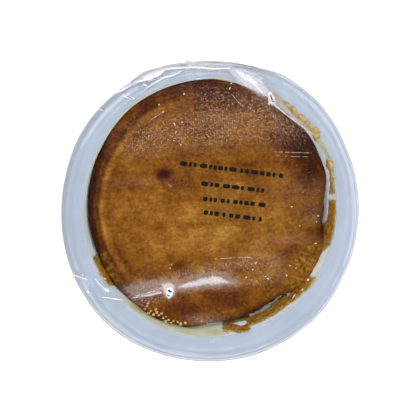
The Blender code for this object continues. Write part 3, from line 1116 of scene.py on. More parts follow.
def film_profile(rim_z, rim_radius):
    """The film from the middle of its top, round the rim, down to the foot and under it."""
    skin = FILM_THICKNESS / 2.0
    outer_r = rim_radius + GAP + skin
    corner = RIM_CORNER + GAP + skin
    top_z = rim_z + GAP + skin
    skirt_z = rim_z - SKIRT_DROP - GAP
    foot_r = wall_radius(rim_z - FILM_THICKNESS - GAP - BASE_CORNER) + WALL + GAP + skin
    foot_corner = BASE_CORNER + GAP
    foot_z = skin
    radii = np.arange(0.4 * MM, outer_r - corner, 0.32 * MM)
    points = [(r, float(film_height(r, rim_z)) + skin) for r in radii]
    points += arc(outer_r - corner, top_z - corner, corner, 90.0, 0.0, 10)
    points += line(points[-1], (outer_r, skirt_z), 3)
    for along in np.arange(CONE_STEPS) / CONE_STEPS:
        radius = mix(outer_r, foot_r, along) - FILM_WAIST * math.sin(math.pi * along)
        points.append((radius, mix(skirt_z, foot_z + foot_corner, along)))
    points += arc(foot_r - foot_corner, foot_z + foot_corner, foot_corner, 0.0, -90.0, 8)
    points += line(points[-1], (0.8 * MM, foot_z), 40) + [(0.8 * MM, foot_z)]
    return np.array(points)


# Ridges of the film's top: a path in pixels, height and half width in millimetres, and whiteness, a painted
# highlight along the ridge
CREASES = (
    (((132.0, 298.0), (146.0, 295.5), (158.0, 292.0), (168.0, 288.0)), 0.18, 0.70, 0.10),
    (((275.0, 101.0), (286.0, 111.0), (299.0, 122.0), (312.0, 134.0)), 0.40, 0.60, 0.15),
    (((114.8, 92.8), (122.0, 88.0), (130.6, 83.4), (144.6, 79.6)), 0.50, 0.80, 0.10),
    (((144.6, 79.6), (152.0, 75.5), (160.0, 71.0), (168.0, 68.6)), 0.25, 1.20, 0.20),
    (((161.2, 67.5), (172.0, 68.0), (184.2, 67.9), (200.0, 68.8), (214.0, 68.2)), 0.35, 0.70, 0.10),
    (((148.5, 88.3), (161.2, 81.9), (174.6, 75.5), (181.6, 71.7)), 0.20, 0.60, 0.10),
    (((187.4, 60.0), (205.0, 60.8), (224.5, 61.8), (242.0, 65.0), (258.0, 69.0)), 0.40, 0.60, 0.08),
    (((72.0, 273.0), (83.0, 277.0), (88.0, 280.5)), 0.30, 0.60, 0.05),
    (((96.0, 279.0), (103.0, 287.0), (108.0, 292.0)), 0.25, 0.60, 0.05),
)
# Lines along the film's folds, painted highlights where white and painted shadows where dark: a path in
# pixels, its width in pixels at both ends, and how strongly it shows
PAINTED_HIGHLIGHT_LINES = (
    (((115.0, 93.0), (122.2, 90.2), (128.9, 86.0), (135.6, 81.8), (141.3, 81.1), (151.8, 78.7)),
     1.7, 1.8, 1.3),
    (((167.1, 68.7), (183.4, 67.7), (193.9, 67.2), (205.0, 68.0), (214.0, 68.8), (229.0, 68.2)),
     2.2, 1.7, 1.2),
    (((147.0, 87.8), (155.7, 82.5), (163.3, 77.7), (173.8, 75.3), (181.5, 70.6)), 1.0, 1.3, 1.0),
    (((121.2, 95.0), (127.0, 97.4), (132.7, 99.7)), 1.2, 1.0, 1.0),
    (((127.6, 94.4), (134.2, 99.0)), 1.0, 0.8, 1.0),
    (((98.3, 108.4), (103.0, 110.7)), 1.3, 1.0, 1.1),
    (((144.2, 84.6), (146.2, 85.6)), 2.0, 1.6, 0.9),
    (((74.4, 275.1), (83.0, 278.4), (88.0, 280.0)), 1.2, 1.1, 1.1),
    (((88.4, 283.4), (89.4, 284.0)), 1.3, 1.3, 0.6),
    (((87.4, 291.4), (88.6, 292.4)), 1.8, 1.8, 1.1),
    (((92.4, 293.4), (94.0, 294.2)), 1.0, 1.0, 0.7),
    (((95.4, 278.9), (98.3, 282.7), (102.1, 286.5), (106.9, 290.4)), 0.9, 1.4, 1.1),
    (((106.2, 290.0), (107.8, 290.8)), 2.4, 2.2, 1.3),
    (((103.0, 297.4), (109.8, 297.9), (117.4, 299.4), (122.4, 300.0)), 1.5, 1.2, 1.0),
    (((84.0, 286.0), (92.0, 290.6), (98.0, 292.4)), 0.9, 0.8, 0.22),
    (((132.7, 298.0), (146.0, 295.8), (160.5, 292.6)), 1.0, 2.6, 0.55),
    (((243.0, 70.4), (256.0, 74.6), (264.0, 80.0)), 1.0, 0.8, 0.55),
    (((240.0, 74.0), (252.0, 82.0), (262.0, 92.0)), 0.9, 1.2, 1.0),
    (((275.6, 105.6), (285.0, 113.6), (296.0, 121.6), (304.0, 127.8), (312.4, 133.6)), 2.0, 0.7, 0.62),
    (((168.8, 184.8), (171.6, 186.4), (170.6, 188.2)), 1.0, 0.8, 0.22),
)
PAINTED_SHADOW_LINES = (
    (((115.5, 91.6), (122.2, 86.8), (128.9, 82.5), (141.3, 76.8)), 0.9, 0.9, 0.45),
    (((141.3, 76.8), (150.0, 71.4), (159.5, 66.3), (168.0, 63.6), (176.7, 62.0), (184.4, 64.3)),
     0.9, 0.8, 0.40),
    (((187.7, 59.3), (193.9, 60.2), (210.0, 61.5), (219.0, 62.4), (223.9, 60.6), (232.5, 62.6),
      (240.2, 64.5), (253.6, 66.5), (261.2, 67.6)), 0.9, 0.7, 0.38),
    (((193.0, 65.6), (200.0, 66.3), (214.3, 66.7), (222.0, 64.8), (228.7, 63.4), (240.2, 67.2),
      (253.6, 70.1)), 0.9, 0.7, 0.30),
    (((148.0, 89.2), (156.6, 84.0), (164.4, 79.2), (174.6, 76.8), (182.6, 72.2)), 0.8, 0.8, 0.30),
    (((144.0, 81.6), (152.0, 80.8), (160.0, 78.0), (166.0, 73.6), (176.0, 70.4)), 0.8, 0.8, 0.28),
    (((127.0, 96.2), (133.2, 99.2)), 0.7, 0.7, 0.60),
    (((99.4, 107.6), (103.8, 109.6)), 0.7, 0.5, 0.35),
    (((145.4, 83.0), (147.6, 84.8)), 0.7, 0.7, 0.40),
    (((247.0, 72.6), (258.0, 79.0), (266.0, 87.0)), 0.8, 0.7, 0.22),
)
# The vents, as short dark lines that paint the shadow in their holes, with their widths in pixels at both
# ends
VENT_PAINTED_SHADOWS = (
    (((270.8, 95.4), (271.6, 98.4), (272.2, 99.6)), 1.4, 1.9),
    (((272.4, 101.2), (273.8, 101.6)), 1.6, 1.5),
    (((169.4, 290.8), (171.0, 291.8)), 3.0, 2.6),
    (((167.8, 295.2), (169.2, 295.8)), 2.0, 1.8),
)
# How far from a line or an area its marks may reach, in pixels
FOLD_REACH = 8.0
# Folded or misted areas, and painted glare where the film catches the light: an outline in pixels,
# whiteness, softness of its edge, and its roughness
FOLD_AND_PAINTED_GLARE_AREAS = (
    (((143.2, 77.6), (155.7, 69.4), (167.1, 67.9), (163.3, 73.0), (157.6, 76.3), (149.0, 79.7),
      (144.2, 79.7)), 1.3, 0.6, 0.4),
    (((116.0, 92.0), (129.0, 83.4), (141.0, 77.6), (141.0, 80.6), (135.0, 81.2), (128.0, 86.0),
      (121.0, 90.4)), 0.16, 0.5, 0.4),
    (((142.0, 77.0), (159.5, 66.8), (176.7, 62.4), (184.4, 64.6), (183.0, 67.4), (166.0, 67.6),
      (155.0, 69.4)), 0.20, 0.5, 0.4),
    (((188.0, 60.0), (219.0, 63.0), (224.0, 61.0), (240.0, 65.0), (228.0, 67.0), (200.0, 67.0),
      (185.0, 66.6)), 0.30, 0.5, 0.4),
    (((229.0, 68.6), (241.0, 69.0), (253.0, 73.4), (261.0, 78.4), (266.6, 86.4), (269.4, 92.6),
      (266.0, 97.0), (259.0, 94.6), (251.0, 89.4), (243.0, 85.0), (236.6, 80.4), (232.4, 75.2)),
     0.50, 3.0, 0.8),
    (((233.0, 69.0), (244.0, 72.0), (255.0, 79.0), (262.0, 87.0), (255.0, 86.0), (243.0, 80.0)),
     0.85, 2.4, 0.6),
    (((274.0, 99.0), (284.0, 105.0), (296.0, 116.0), (308.0, 127.0), (300.0, 125.0), (286.0, 113.0),
      (275.0, 104.6)), 0.16, 1.4, 1.4),
    (((178.0, 286.4), (184.0, 283.6), (194.0, 280.6), (204.0, 277.6), (213.0, 276.0), (221.0, 277.6),
      (228.0, 280.8), (232.0, 283.0), (226.0, 283.6), (217.0, 284.0), (208.0, 285.0), (198.0, 286.6),
      (188.0, 288.0), (180.0, 288.6)), 0.60, 2.4, 0.9),
    (((174.0, 284.0), (194.0, 278.0), (214.0, 273.6), (230.0, 279.0), (238.0, 283.0), (226.0, 286.0),
      (208.0, 288.0), (190.0, 290.6), (176.0, 291.0)), 0.24, 4.0, 1.4),
    (((161.6, 284.0), (169.0, 282.4), (174.6, 285.0), (175.4, 290.6), (173.4, 296.0), (168.8, 298.6),
      (165.0, 295.6), (162.0, 290.0)), 0.55, 2.6, 0.6),
    (((166.4, 287.8), (171.6, 286.6), (174.0, 290.6), (172.4, 296.0), (169.0, 298.0), (166.2, 295.6)),
     0.95, 1.1, 0.4),
    (((268.6, 91.6), (271.4, 92.6), (275.2, 98.4), (276.0, 103.0), (273.6, 105.2), (270.2, 103.0),
      (267.8, 97.0)), 0.72, 1.8, 1.6),
    (((126.0, 286.0), (140.0, 281.0), (158.0, 280.0), (180.0, 278.0), (200.0, 273.0), (216.0, 270.6),
      (232.0, 274.0), (240.0, 281.0), (232.0, 283.4), (200.0, 282.0), (170.0, 290.0), (146.0, 295.6),
      (130.0, 298.0)), 0.16, 3.0, 3.0),
)
# Misted places: pixel, radii in pixels, turn in degrees, whiteness, drops. The whiteness is mist, and
# painted glare at the top right and along the lower band
MIST = (
    ((260.0, 92.0), (18.0, 8.0), -38.0, 0.10, 0.9),
    ((200.0, 272.0), (34.0, 5.0), 10.0, 0.03, 1.0),
    ((148.0, 288.0), (28.0, 9.0), 12.0, 0.05, 1.0),
    ((205.0, 320.0), (18.0, 5.0), -3.0, 0.08, 1.0),
    ((150.0, 300.0), (26.0, 5.0), 12.0, 0.02, 0.8),
    ((240.0, 112.0), (56.0, 20.0), -22.0, 0.012, 1.0),
    ((280.0, 118.0), (30.0, 10.0), -38.0, 0.012, 0.8),
    ((200.0, 130.0), (56.0, 18.0), 0.0, 0.012, 1.0),
    ((148.0, 142.0), (26.0, 12.0), 12.0, 0.012, 0.9),
    ((296.0, 190.0), (32.0, 14.0), 4.0, 0.018, 0.10),
    ((312.0, 214.0), (14.0, 12.0), 0.0, 0.030, 0.10),
    ((140.0, 182.0), (44.0, 5.0), 2.0, 0.020, 0.0),
    ((286.0, 240.0), (30.0, 5.0), 2.0, 0.040, 0.1),
    ((254.0, 262.0), (26.0, 10.0), 6.0, 0.020, 0.7),
    ((276.0, 270.0), (9.0, 12.0), 0.0, 0.035, 0.2),
    ((250.0, 282.0), (26.0, 6.0), 14.0, 0.015, 0.5),
    ((155.0, 88.0), (16.0, 5.0), 26.0, 0.02, 0.0),
)


def misted(camera, spots, rim_z):
    """How much whiteness, mist with some painted glare, and how many drops the misted places give points of
    the plan.
    """
    hazy, wet = np.zeros(spots.shape[:-1]), np.zeros(spots.shape[:-1])
    for pixel, radii_px, turn, haze_and_painted_glare, drops in MIST:
        offset = (spots[..., :2] - at_height(camera, pixel, rim_z)[:2]) / PIXEL
        along, aside = turned(offset[..., 0], offset[..., 1], -turn)
        share = np.exp(-np.hypot(along / radii_px[0], aside / radii_px[1]) ** 2.4)
        hazy += haze_and_painted_glare * share
        wet += drops * share
    return hazy, wet


def film_top_marks(camera, places, rim_z):
    """The lift, the whiteness and the drops that the creases and the mist give the film's top; the creases'
    whiteness is painted highlight.
    """
    lift = np.zeros(places.shape[:-1])
    haze_and_painted_glare = np.zeros(places.shape[:-1])
    for path_px, height, width, white in CREASES:
        path = [at_height(camera, pixel, rim_z) for pixel in path_px]
        distance, along = path_distance(places, path)
        ends = np.sqrt(np.clip(np.minimum(along, 1.0 - along) * 8.0, 0.0, 1.0))
        shape = peak(distance, 0.0, width * MM)
        lift += height * MM * shape * (0.35 + 0.65 * ends)
        broken = 0.65 + 0.5 * other_field(places, 2.4 * MM)
        haze_and_painted_glare = np.maximum(haze_and_painted_glare, white * shape ** 1.6 * (0.3 + 0.7 * ends) * broken)
    hazy, wet = misted(camera, places, rim_z)
    cloudy = hazy * (0.85 + 0.35 * field(places, 1.6 * MM))
    return lift, np.maximum(haze_and_painted_glare, cloudy) + 0.3 * np.minimum(haze_and_painted_glare, cloudy), wet


def line_marks(pixels, keys, lines):
    """How strongly lines show at points of the photograph's frame."""
    marks = np.zeros(pixels.shape[:-1])
    for path, start_width, end_width, strength in lines:
        distance, along = path_distance(pixels, path)
        half = mix(start_width, end_width, along) * (0.42 + 0.16 * field(keys, 1.6 * MM))
        marks = np.maximum(marks, strength * (1.0 - smooth_step(-0.30, 0.35, distance - half)))
    return marks


def fold_marks_and_painted_light(pixels):
    """Whiteness, as painted highlight, glare and fold whitening, and darkness, as painted shade, at frame
    pixels.
    """
    keys = np.concatenate((pixels, np.zeros((*pixels.shape[:-1], 1))), axis=-1) * PIXEL
    white = line_marks(pixels, keys, PAINTED_HIGHLIGHT_LINES)
    # Painted shadows in the vents' holes
    hole_shadows = line_marks(pixels, keys, [(*vent, 1.0) for vent in VENT_PAINTED_SHADOWS])
    dark = np.maximum(line_marks(pixels, keys, PAINTED_SHADOW_LINES), hole_shadows)
    for outline, whiteness, soft, rough in FOLD_AND_PAINTED_GLARE_AREAS:
        depth = outline_depth(pixels, outline)
        depth = depth + rough * (0.8 * field(keys, 1.1 * MM) + 0.8 * other_field(keys, 0.5 * MM))
        white = np.maximum(white, whiteness * smooth_step(-soft, soft, depth))
    return white * (1.0 - hole_shadows), dark


def film_waves(places):
    """The slack film's slow swells."""
    return 0.10 * MM * field(places, 11 * MM) + 0.03 * MM * other_field(places, 4 * MM)


def film_face(camera, pixels, lift):
    """Points on the film's outer face, raised by lift, that show at pixels of the photograph."""
    rim_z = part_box("basin")[1].z
    corner = RIM_CORNER + GAP + FILM_THICKNESS
    flat_r = RIM_RADIUS + GAP + FILM_THICKNESS - corner
    places = at_height(camera, pixels, rim_z)
    for _ in range(3):
        nominal = unsettle(places, 1.0)
        radius, _ = polar(nominal)
        beyond = np.clip(radius - flat_r, 0.0, 0.97 * corner)
        drop = corner - np.sqrt(corner ** 2 - beyond ** 2)
        keys = np.concatenate((nominal[..., :2], np.full((*nominal.shape[:-1], 1), rim_z)), axis=-1)
        height = film_height(radius, rim_z) + FILM_THICKNESS + film_waves(keys) - drop + lift
        places = at_height(camera, pixels, height)
    return places


# The folds' layer: the frame's pixels that it may cover, its blocks and its steps in pixels, how far
# it stands off the film, and the faintest mark that it keeps
FOLD_SPAN = (56.0, 364.0)
FOLD_BLOCK = 4.0
FOLD_STEP = 0.5
FOLD_LIFT = 0.04 * MM
FAINTEST = 0.02


def square_grid(steps):
    return np.stack(np.meshgrid(steps, steps, indexing="ij"), axis=-1)


def make_folds(camera, material):
    """The folded places of the film, with painted highlights, glare and shade, as a second layer just over
    it.
    """
    centres = square_grid(np.arange(*FOLD_SPAN, FOLD_BLOCK)) + FOLD_BLOCK / 2.0
    nearest = np.full(centres.shape[:-1], 1e9)
    for path, *_ in (*PAINTED_HIGHLIGHT_LINES, *PAINTED_SHADOW_LINES, *VENT_PAINTED_SHADOWS):
        nearest = np.minimum(nearest, path_distance(centres, path)[0])
    for outline, *_ in FOLD_AND_PAINTED_GLARE_AREAS:
        nearest = np.minimum(nearest, -outline_depth(centres, outline))
    block = square_grid(np.arange(0.0, FOLD_BLOCK + FOLD_STEP / 2.0, FOLD_STEP))
    side = len(block)
    starts = centres[nearest < FOLD_REACH] - FOLD_BLOCK / 2.0
    pixels = starts[:, None, None, :] + block
    white, dark = fold_marks_and_painted_light(pixels)
    places = film_face(camera, pixels, FOLD_LIFT)
    radius, _ = polar(unsettle(places, 1.0))
    marked = (np.maximum(white, dark) > FAINTEST) & (radius < RIM_RADIUS + CLING + GAP + FILM_THICKNESS)
    keep = marked[:, :-1, :-1] | marked[:, 1:, :-1] | marked[:, 1:, 1:] | marked[:, :-1, 1:]
    faces = []
    for index in range(len(starts)):
        quads = np.array(grid_faces(side, side, False, keep[index]), dtype=int)
        faces += (quads + index * side * side).tolist()
    piece = finish_piece("film_folds_painted_light", places, faces, material, {"haze_and_painted_glare": white, "shade": dark})
    clean_up(piece, merged=True)
    return piece


def side_pleats(angle, height, rim_z):
    """How far the folds lift the film at its side and under its foot, and how much painted highlight the
    pleats get.
    """
    drop = np.clip((rim_z - SKIRT_DROP - height) / (rim_z - SKIRT_DROP), 0.0, 1.0)
    lanes = np.stack(np.broadcast_arrays(np.cos(angle), np.sin(angle), height * 0.16), axis=-1)
    lanes[..., :2] *= 40 * MM
    leaning = lanes.copy()
    leaning[..., 0] += 0.10 * height
    pleats = 0.55 * ridges(leaning, 6.5 * MM, 5.0) + 0.30 * ridges(lanes, 3.4 * MM, 4.0)
    lift = pleats * mix(0.10 * MM, 0.85 * MM, drop ** 0.8)
    lift = lift + 0.25 * MM * field(lanes, 14 * MM) * np.sin(math.pi * drop)
    gathers = 0.30 * MM * ridges(lanes * np.array((1.0, 1.0, 0.0)), 3.6 * MM, 3.0)
    return lift, gathers, pleats ** 2 * (0.3 + 0.7 * drop)


def make_film(camera, material, rim_z):
    """The film as one skin, creased over the mouth, gathered down the side and under the foot."""
    _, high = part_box("basin")
    profile = film_profile(rim_z, high.x)
    rings = turned_rings(profile, FILM_SEGMENTS)
    run = np.gradient(profile, axis=0)
    run /= np.linalg.norm(run, axis=1)[:, None]
    angle = angles_of(FILM_SEGMENTS)[None, :]
    radius, height = profile[:, :1], profile[:, 1:]
    above = np.arange(len(profile))[:, None] <= np.argmax(profile[:, 0])
    under = np.where(~above & (height < 1.2 * MM), 1.0, 0.0)
    side = np.where(above, 0.0, 1.0) * (1.0 - under)

    marks, haze_and_painted_glare, wet = film_top_marks(camera, settle(rings, 1.0), rim_z)
    speckle = np.where(above, np.clip(wet + 0.01, 0.0, 1.0), 0.0)
    spokes = np.stack(np.broadcast_arrays(np.cos(angle), np.sin(angle), radius * 3.0), axis=-1)
    spokes[..., :2] *= 42 * MM
    rim_waves = 0.10 * MM * field(spokes, 3.2 * MM) * smooth_step(34 * MM, 43 * MM, radius)
    top = smooth_step(rim_z - 4 * MM, rim_z - 1 * MM, height) * above
    side_lift, gathers, pleat_highlight = side_pleats(angle, height, rim_z)
    lift = (marks + film_waves(rings) + rim_waves) * top + side * side_lift
    lift = lift - under * gathers * smooth_step(10 * MM, 30 * MM, radius)

    push_out(rings, lift * -run[:, 1:])
    rings[..., 2] += lift * run[:, :1]
    rings = settle(rings, 1.0)
    near = peak(np.degrees(angle), 262.0, 55.0)
    edge_r = high.x + GAP
    # Painted shade: a dark line along the film's outer edge at the rim, stronger on the near side
    painted_edge_shade = smooth_step(edge_r - 0.6 * MM, edge_r - 0.05 * MM, radius) * (0.36 + 0.28 * near)
    painted_edge_shade = painted_edge_shade * smooth_step(rim_z - 3.4 * MM, rim_z - 2.6 * MM, height)
    # Whiteness: the top's from creases and mist, and painted highlight on the side's pleats
    haze_and_painted_glare = np.where(above, haze_and_painted_glare, 0.0) + side * (SIDE_HAZE + PLEAT_PAINTED_HIGHLIGHT * pleat_highlight)
    haze_and_painted_glare = haze_and_painted_glare + under * FOOT_HAZE + FILM_HAZE
    hub_z = (rings[0, :, 2].mean(), rings[-1, :, 2].mean())
    places, faces = capped_turn(rings, (0.0, 0.0, hub_z[0]), (0.0, 0.0, hub_z[1]))
    hazes = np.clip(with_ends(haze_and_painted_glare, haze_and_painted_glare[0].mean(), haze_and_painted_glare[-1].mean()), 0.0, 1.0)
    values = {"haze_and_painted_glare": hazes, "speckle": with_ends(speckle), "shade": with_ends(painted_edge_shade)}
    piece = finish_piece("film_wrap", places, faces, material, values)
    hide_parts("film")
    return piece


# Small things on the film and the sponge

def dome(sides, rows):
    """Unit points and faces of a dome that bulges down from a flat round face at height 0."""
    rings = []
    for row in range(rows):
        lean = math.pi / 2.0 * row / rows
        rings.append([(math.cos(lean) * math.cos(a), math.cos(lean) * math.sin(a), -math.sin(lean))
                      for a in angles_of(sides)])
    places = np.array(rings).reshape(-1, 3)
    places = np.concatenate((places, ((0.0, 0.0, -1.0),)))
    faces = []
    for row in range(rows - 1):
        for step in range(sides):
            after = (step + 1) % sides
            a, b = row * sides, (row + 1) * sides
            faces.append((a + step, b + step, b + after, a + after))
    base = (rows - 1) * sides
    faces += [(base + step, len(places) - 1, base + (step + 1) % sides) for step in range(sides)]
    faces.append(tuple(range(sides)))
    return places, faces


def scatter(name, shape, centres, sizes, material, turns=None):
    """One joined piece with a copy of a small shape at each centre, turned by degrees in plan."""
    unit, unit_faces = shape
    offsets = unit * sizes[:, None, :]
    if turns is not None:
        for offset, turn in zip(offsets, turns):
            offset[:, 0], offset[:, 1] = turned(offset[:, 0], offset[:, 1], turn)
    faces = [tuple(index * len(unit) + corner for corner in face)
             for index in range(len(centres)) for face in unit_faces]
    return finish_piece(name, centres[:, None, :] + offsets, faces, material)


def film_spot(spots, rim_z, lift):
    """Points on the film's top over points of the plan, as far off its outer face as lift."""
    nominal = unsettle(np.column_stack((spots[:, :2], np.full(len(spots), rim_z))))
    nominal[:, 2] = film_height(polar(nominal)[0], rim_z) + FILM_THICKNESS / 2.0
    return np.column_stack((spots[:, :2], nominal[:, 2] + film_waves(nominal) + lift))


def make_drops(camera, material, rim_z):
    """Condensed drops under the film, thickest over the far part of the sponge."""
    random = np.random.default_rng(5)
    spread = 39 * MM
    tries = random.uniform(-spread, spread, (40000, 2))
    _, wet = misted(camera, tries, rim_z)
    density = 0.006 + 0.35 * np.minimum(wet, 1.0)
    radius = np.hypot(tries[:, 0], tries[:, 1] - 0.8 * MM)
    chosen = (random.random(len(tries)) < density) & (radius < spread)
    places = tries[chosen]
    sizes = random.uniform(0.07, 0.15, len(places)) * MM
    centres = film_spot(places, rim_z, -0.10 * MM)
    stretched = np.column_stack((sizes, sizes * random.uniform(0.8, 1.2, len(sizes)), sizes * 0.6))
    piece = scatter("condensed_drops", dome(7, 2), centres, stretched, material)
    return piece


# Beads of water and syrup under the film, painted pale as glints: pixel, length and width in pixels, turn
# in degrees
GLINTS = (
    ((231.4, 83.0), 3.2, 1.5, 65.0), ((229.8, 88.3), 4.2, 1.5, 60.0), ((184.0, 93.8), 2.6, 1.7, 80.0),
    ((159.2, 104.6), 2.0, 1.6, 0.0), ((163.2, 112.0), 2.2, 1.8, 20.0), ((174.4, 124.0), 4.6, 1.3, -62.0),
    ((182.2, 122.4), 2.8, 1.6, -30.0), ((176.0, 132.6), 3.6, 1.2, 70.0), ((181.0, 145.0), 2.6, 1.3, 70.0),
    ((174.0, 141.0), 1.8, 1.2, 0.0), ((268.0, 279.0), 3.6, 1.5, -25.0), ((265.6, 276.6), 2.2, 1.2, 10.0),
    ((286.6, 275.6), 2.4, 1.7, -60.0), ((308.0, 279.6), 3.4, 2.4, 30.0), ((294.0, 296.0), 7.0, 1.0, 52.0),
    ((302.0, 289.6), 6.0, 0.9, 40.0), ((104.9, 278.9), 2.4, 1.7, -20.0), ((323.0, 261.6), 2.2, 1.8, 0.0),
    ((253.0, 270.0), 2.0, 1.6, 0.0), ((246.4, 277.6), 2.0, 1.6, 0.0), ((256.0, 263.4), 3.0, 1.2, 20.0),
    ((318.2, 215.8), 2.0, 1.6, 0.0), ((316.6, 221.6), 1.6, 1.2, 0.0), ((292.0, 207.0), 2.2, 1.5, 0.0),
    ((170.4, 268.6), 1.8, 1.4, 0.0), ((172.0, 264.8), 1.4, 1.2, 0.0), ((315.6, 243.4), 4.0, 1.0, 20.0),
    ((290.0, 265.8), 3.0, 1.0, 0.0), ((296.0, 268.0), 3.0, 1.0, 10.0), ((300.0, 226.0), 1.8, 1.4, 0.0),
)
# The golden beads at the sponge's lower left edge
BEADS = (
    (147.0, 306.0), (148.6, 313.0), (151.0, 311.0), (153.4, 314.6), (156.6, 312.4), (158.6, 315.0),
    (161.6, 313.6), (163.0, 318.0), (166.0, 316.6), (168.4, 320.0), (171.0, 322.6), (173.4, 321.0),
    (144.8, 309.0), (177.6, 322.0), (180.6, 324.0), (185.2, 323.0), (150.0, 317.0), (148.0, 303.0),
    (155.6, 309.6), (165.6, 321.4), (224.6, 331.6), (227.6, 333.4), (229.8, 331.6),
)
# How far under the rim they stand
BEAD_DEPTH = 5.6 * MM


def bead(sides, rows):
    """Unit points and faces of a ball."""
    places = [(0.0, 0.0, 1.0)]
    for row in range(1, rows):
        lean = math.pi * row / rows
        places += [(math.sin(lean) * math.cos(a), math.sin(lean) * math.sin(a), math.cos(lean))
                   for a in angles_of(sides)]
    places.append((0.0, 0.0, -1.0))
    faces = [(0, 1 + step, 1 + (step + 1) % sides) for step in range(sides)]
    for row in range(rows - 2):
        start = 1 + row * sides
        for step in range(sides):
            after = (step + 1) % sides
            faces.append((start + step, start + sides + step, start + sides + after, start + after))
    last = len(places) - 1
    start = last - sides
    faces += [(start + step, last, start + (step + 1) % sides) for step in range(sides)]
    return np.array(places), faces


def make_glints(camera, material, rim_z):
    """Larger drops under the film, each a flattened and turned ball, shown as glints by pale paint."""
    pixels, lengths, widths, turns = (np.array(column) for column in zip(*GLINTS))
    centres = film_spot(at_height(camera, pixels, rim_z), rim_z, -0.30 * MM)
    sizes = np.column_stack((lengths, widths, 0.6 * widths)) * PIXEL * 0.4
    piece = scatter("drops_painted_as_glints", bead(12, 8), centres, sizes, material, turns)
    return piece


def bead_spot(camera, pixel, rim_z):
    """Where a bead stands: at the sponge's edge, or on the wall if the wall shows at its pixel."""
    spot = at_height(camera, pixel, rim_z - BEAD_DEPTH)
    nominal = unsettle(spot)
    if math.hypot(nominal[0], nominal[1]) < wall_radius(BEAD_DEPTH):
        return spot
    across, travel = wall_spot(camera, pixel, rim_z)
    return settle(on_wall(across / MOUTH_RADIUS, travel, 0.15 * MM, rim_z))


def make_beads(camera, material, rim_z):
    """A row of set syrup beads where the sponge meets the wall."""
    random = np.random.default_rng(8)
    centres = np.array([bead_spot(camera, pixel, rim_z) for pixel in BEADS])
    sizes = random.uniform(0.34, 0.62, len(BEADS)) * MM
    stretched = np.column_stack((sizes, sizes * random.uniform(0.7, 1.1, len(sizes)), sizes * 0.8))
    piece = scatter("syrup_beads", bead(14, 9), centres, stretched, material)
    return piece


# Rows of plain dark dashes on the film: left end and right end in pixels
DASH_ROWS = (
    ((180.0, 163.5), (283.0, 176.0)),
    ((201.5, 184.0), (269.0, 191.5)),
    ((203.5, 199.5), (266.0, 205.5)),
    ((204.0, 213.0), (263.5, 220.0)),
)
DASH_HEIGHT = 1.45 * MM


def make_dashes(camera, material, rim_z):
    """The film's printed place, with rows of plain dashes."""
    random = np.random.default_rng(3)
    places, faces = [], []
    for start_px, end_px in DASH_ROWS:
        start, end = (at_height(camera, pixel, rim_z)[:2] for pixel in (start_px, end_px))
        length = np.linalg.norm(end - start)
        run = (end - start) / length
        across = np.array((-run[1], run[0]))
        reached = 0.0
        while reached < length - 0.8 * MM:
            dash = min(random.choice((1.0, 1.5, 2.4)) * MM, length - reached)
            outline = []
            for steps, side in ((np.linspace(0.0, 1.0, 5), -0.5), (np.linspace(1.0, 0.0, 5), 0.5)):
                for step in steps:
                    taper = 1.0 - 0.35 * abs(2.0 * step - 1.0) ** 4
                    spot = start + run * (reached + step * dash) + across * side * DASH_HEIGHT * taper
                    outline.append((*spot, 0.0))
            faces.append(tuple(len(places) + corner for corner in range(len(outline))))
            places += film_spot(np.array(outline), rim_z, 0.06 * MM).tolist()
            reached += dash + random.choice((0.50, 0.50, 1.1)) * MM
    piece = finish_piece("film_dashes", places, faces, material)
    return piece


# Scratches on the film: a path in pixels and its width in millimetres
SCRATCHES = (
    (((275.0, 151.8), (294.0, 152.4), (312.0, 152.8)), 0.15),
    (((276.0, 155.6), (292.0, 156.4), (311.0, 156.6)), 0.13),
    (((215.0, 259.4), (234.0, 258.2), (252.0, 257.6)), 0.18),
    (((151.0, 119.4), (157.0, 115.6), (162.6, 112.2)), 0.20),
    (((231.0, 93.0), (235.0, 98.0), (239.0, 103.0)), 0.12),
    (((206.0, 134.0), (209.6, 137.4)), 0.20),
    (((225.0, 228.0), (236.0, 227.0)), 0.14),
)


def make_scratches(camera, material, rim_z):
    """Pale broken scratches, as thin strips on the film."""
    places, faces = [], []
    for path_px, width in SCRATCHES:
        path = np.array([at_height(camera, pixel, rim_z)[:2] for pixel in path_px])
        lengths = np.concatenate(((0.0,), np.cumsum(np.linalg.norm(np.diff(path, axis=0), axis=1))))
        steps = np.arange(0.0, lengths[-1], 0.14 * MM)
        spots = np.column_stack([np.interp(steps, lengths, path[:, axis]) for axis in (0, 1)])
        run = np.gradient(spots, axis=0)
        run /= np.linalg.norm(run, axis=1)[:, None]
        across = np.column_stack((-run[:, 1], run[:, 0]))
        keys = np.column_stack((spots, np.zeros(len(spots))))
        wide = width * MM * np.clip(0.55 + 0.9 * field(keys, 0.7 * MM), 0.0, 1.0) / 2.0
        first = len(places)
        for side in (-1.0, 1.0):
            edge = spots + across * (side * wide)[:, None]
            places += film_spot(np.column_stack((edge, keys[:, 2])), rim_z, 0.05 * MM).tolist()
        count = len(spots)
        for step in range(count - 1):
            if wide[step] > 0.02 * MM or wide[step + 1] > 0.02 * MM:
                here = first + step
                faces.append((here, here + 1, here + count + 1, here + count))
    piece = finish_piece("film_scratches", places, faces, material)
    clean_up(piece)
    return piece


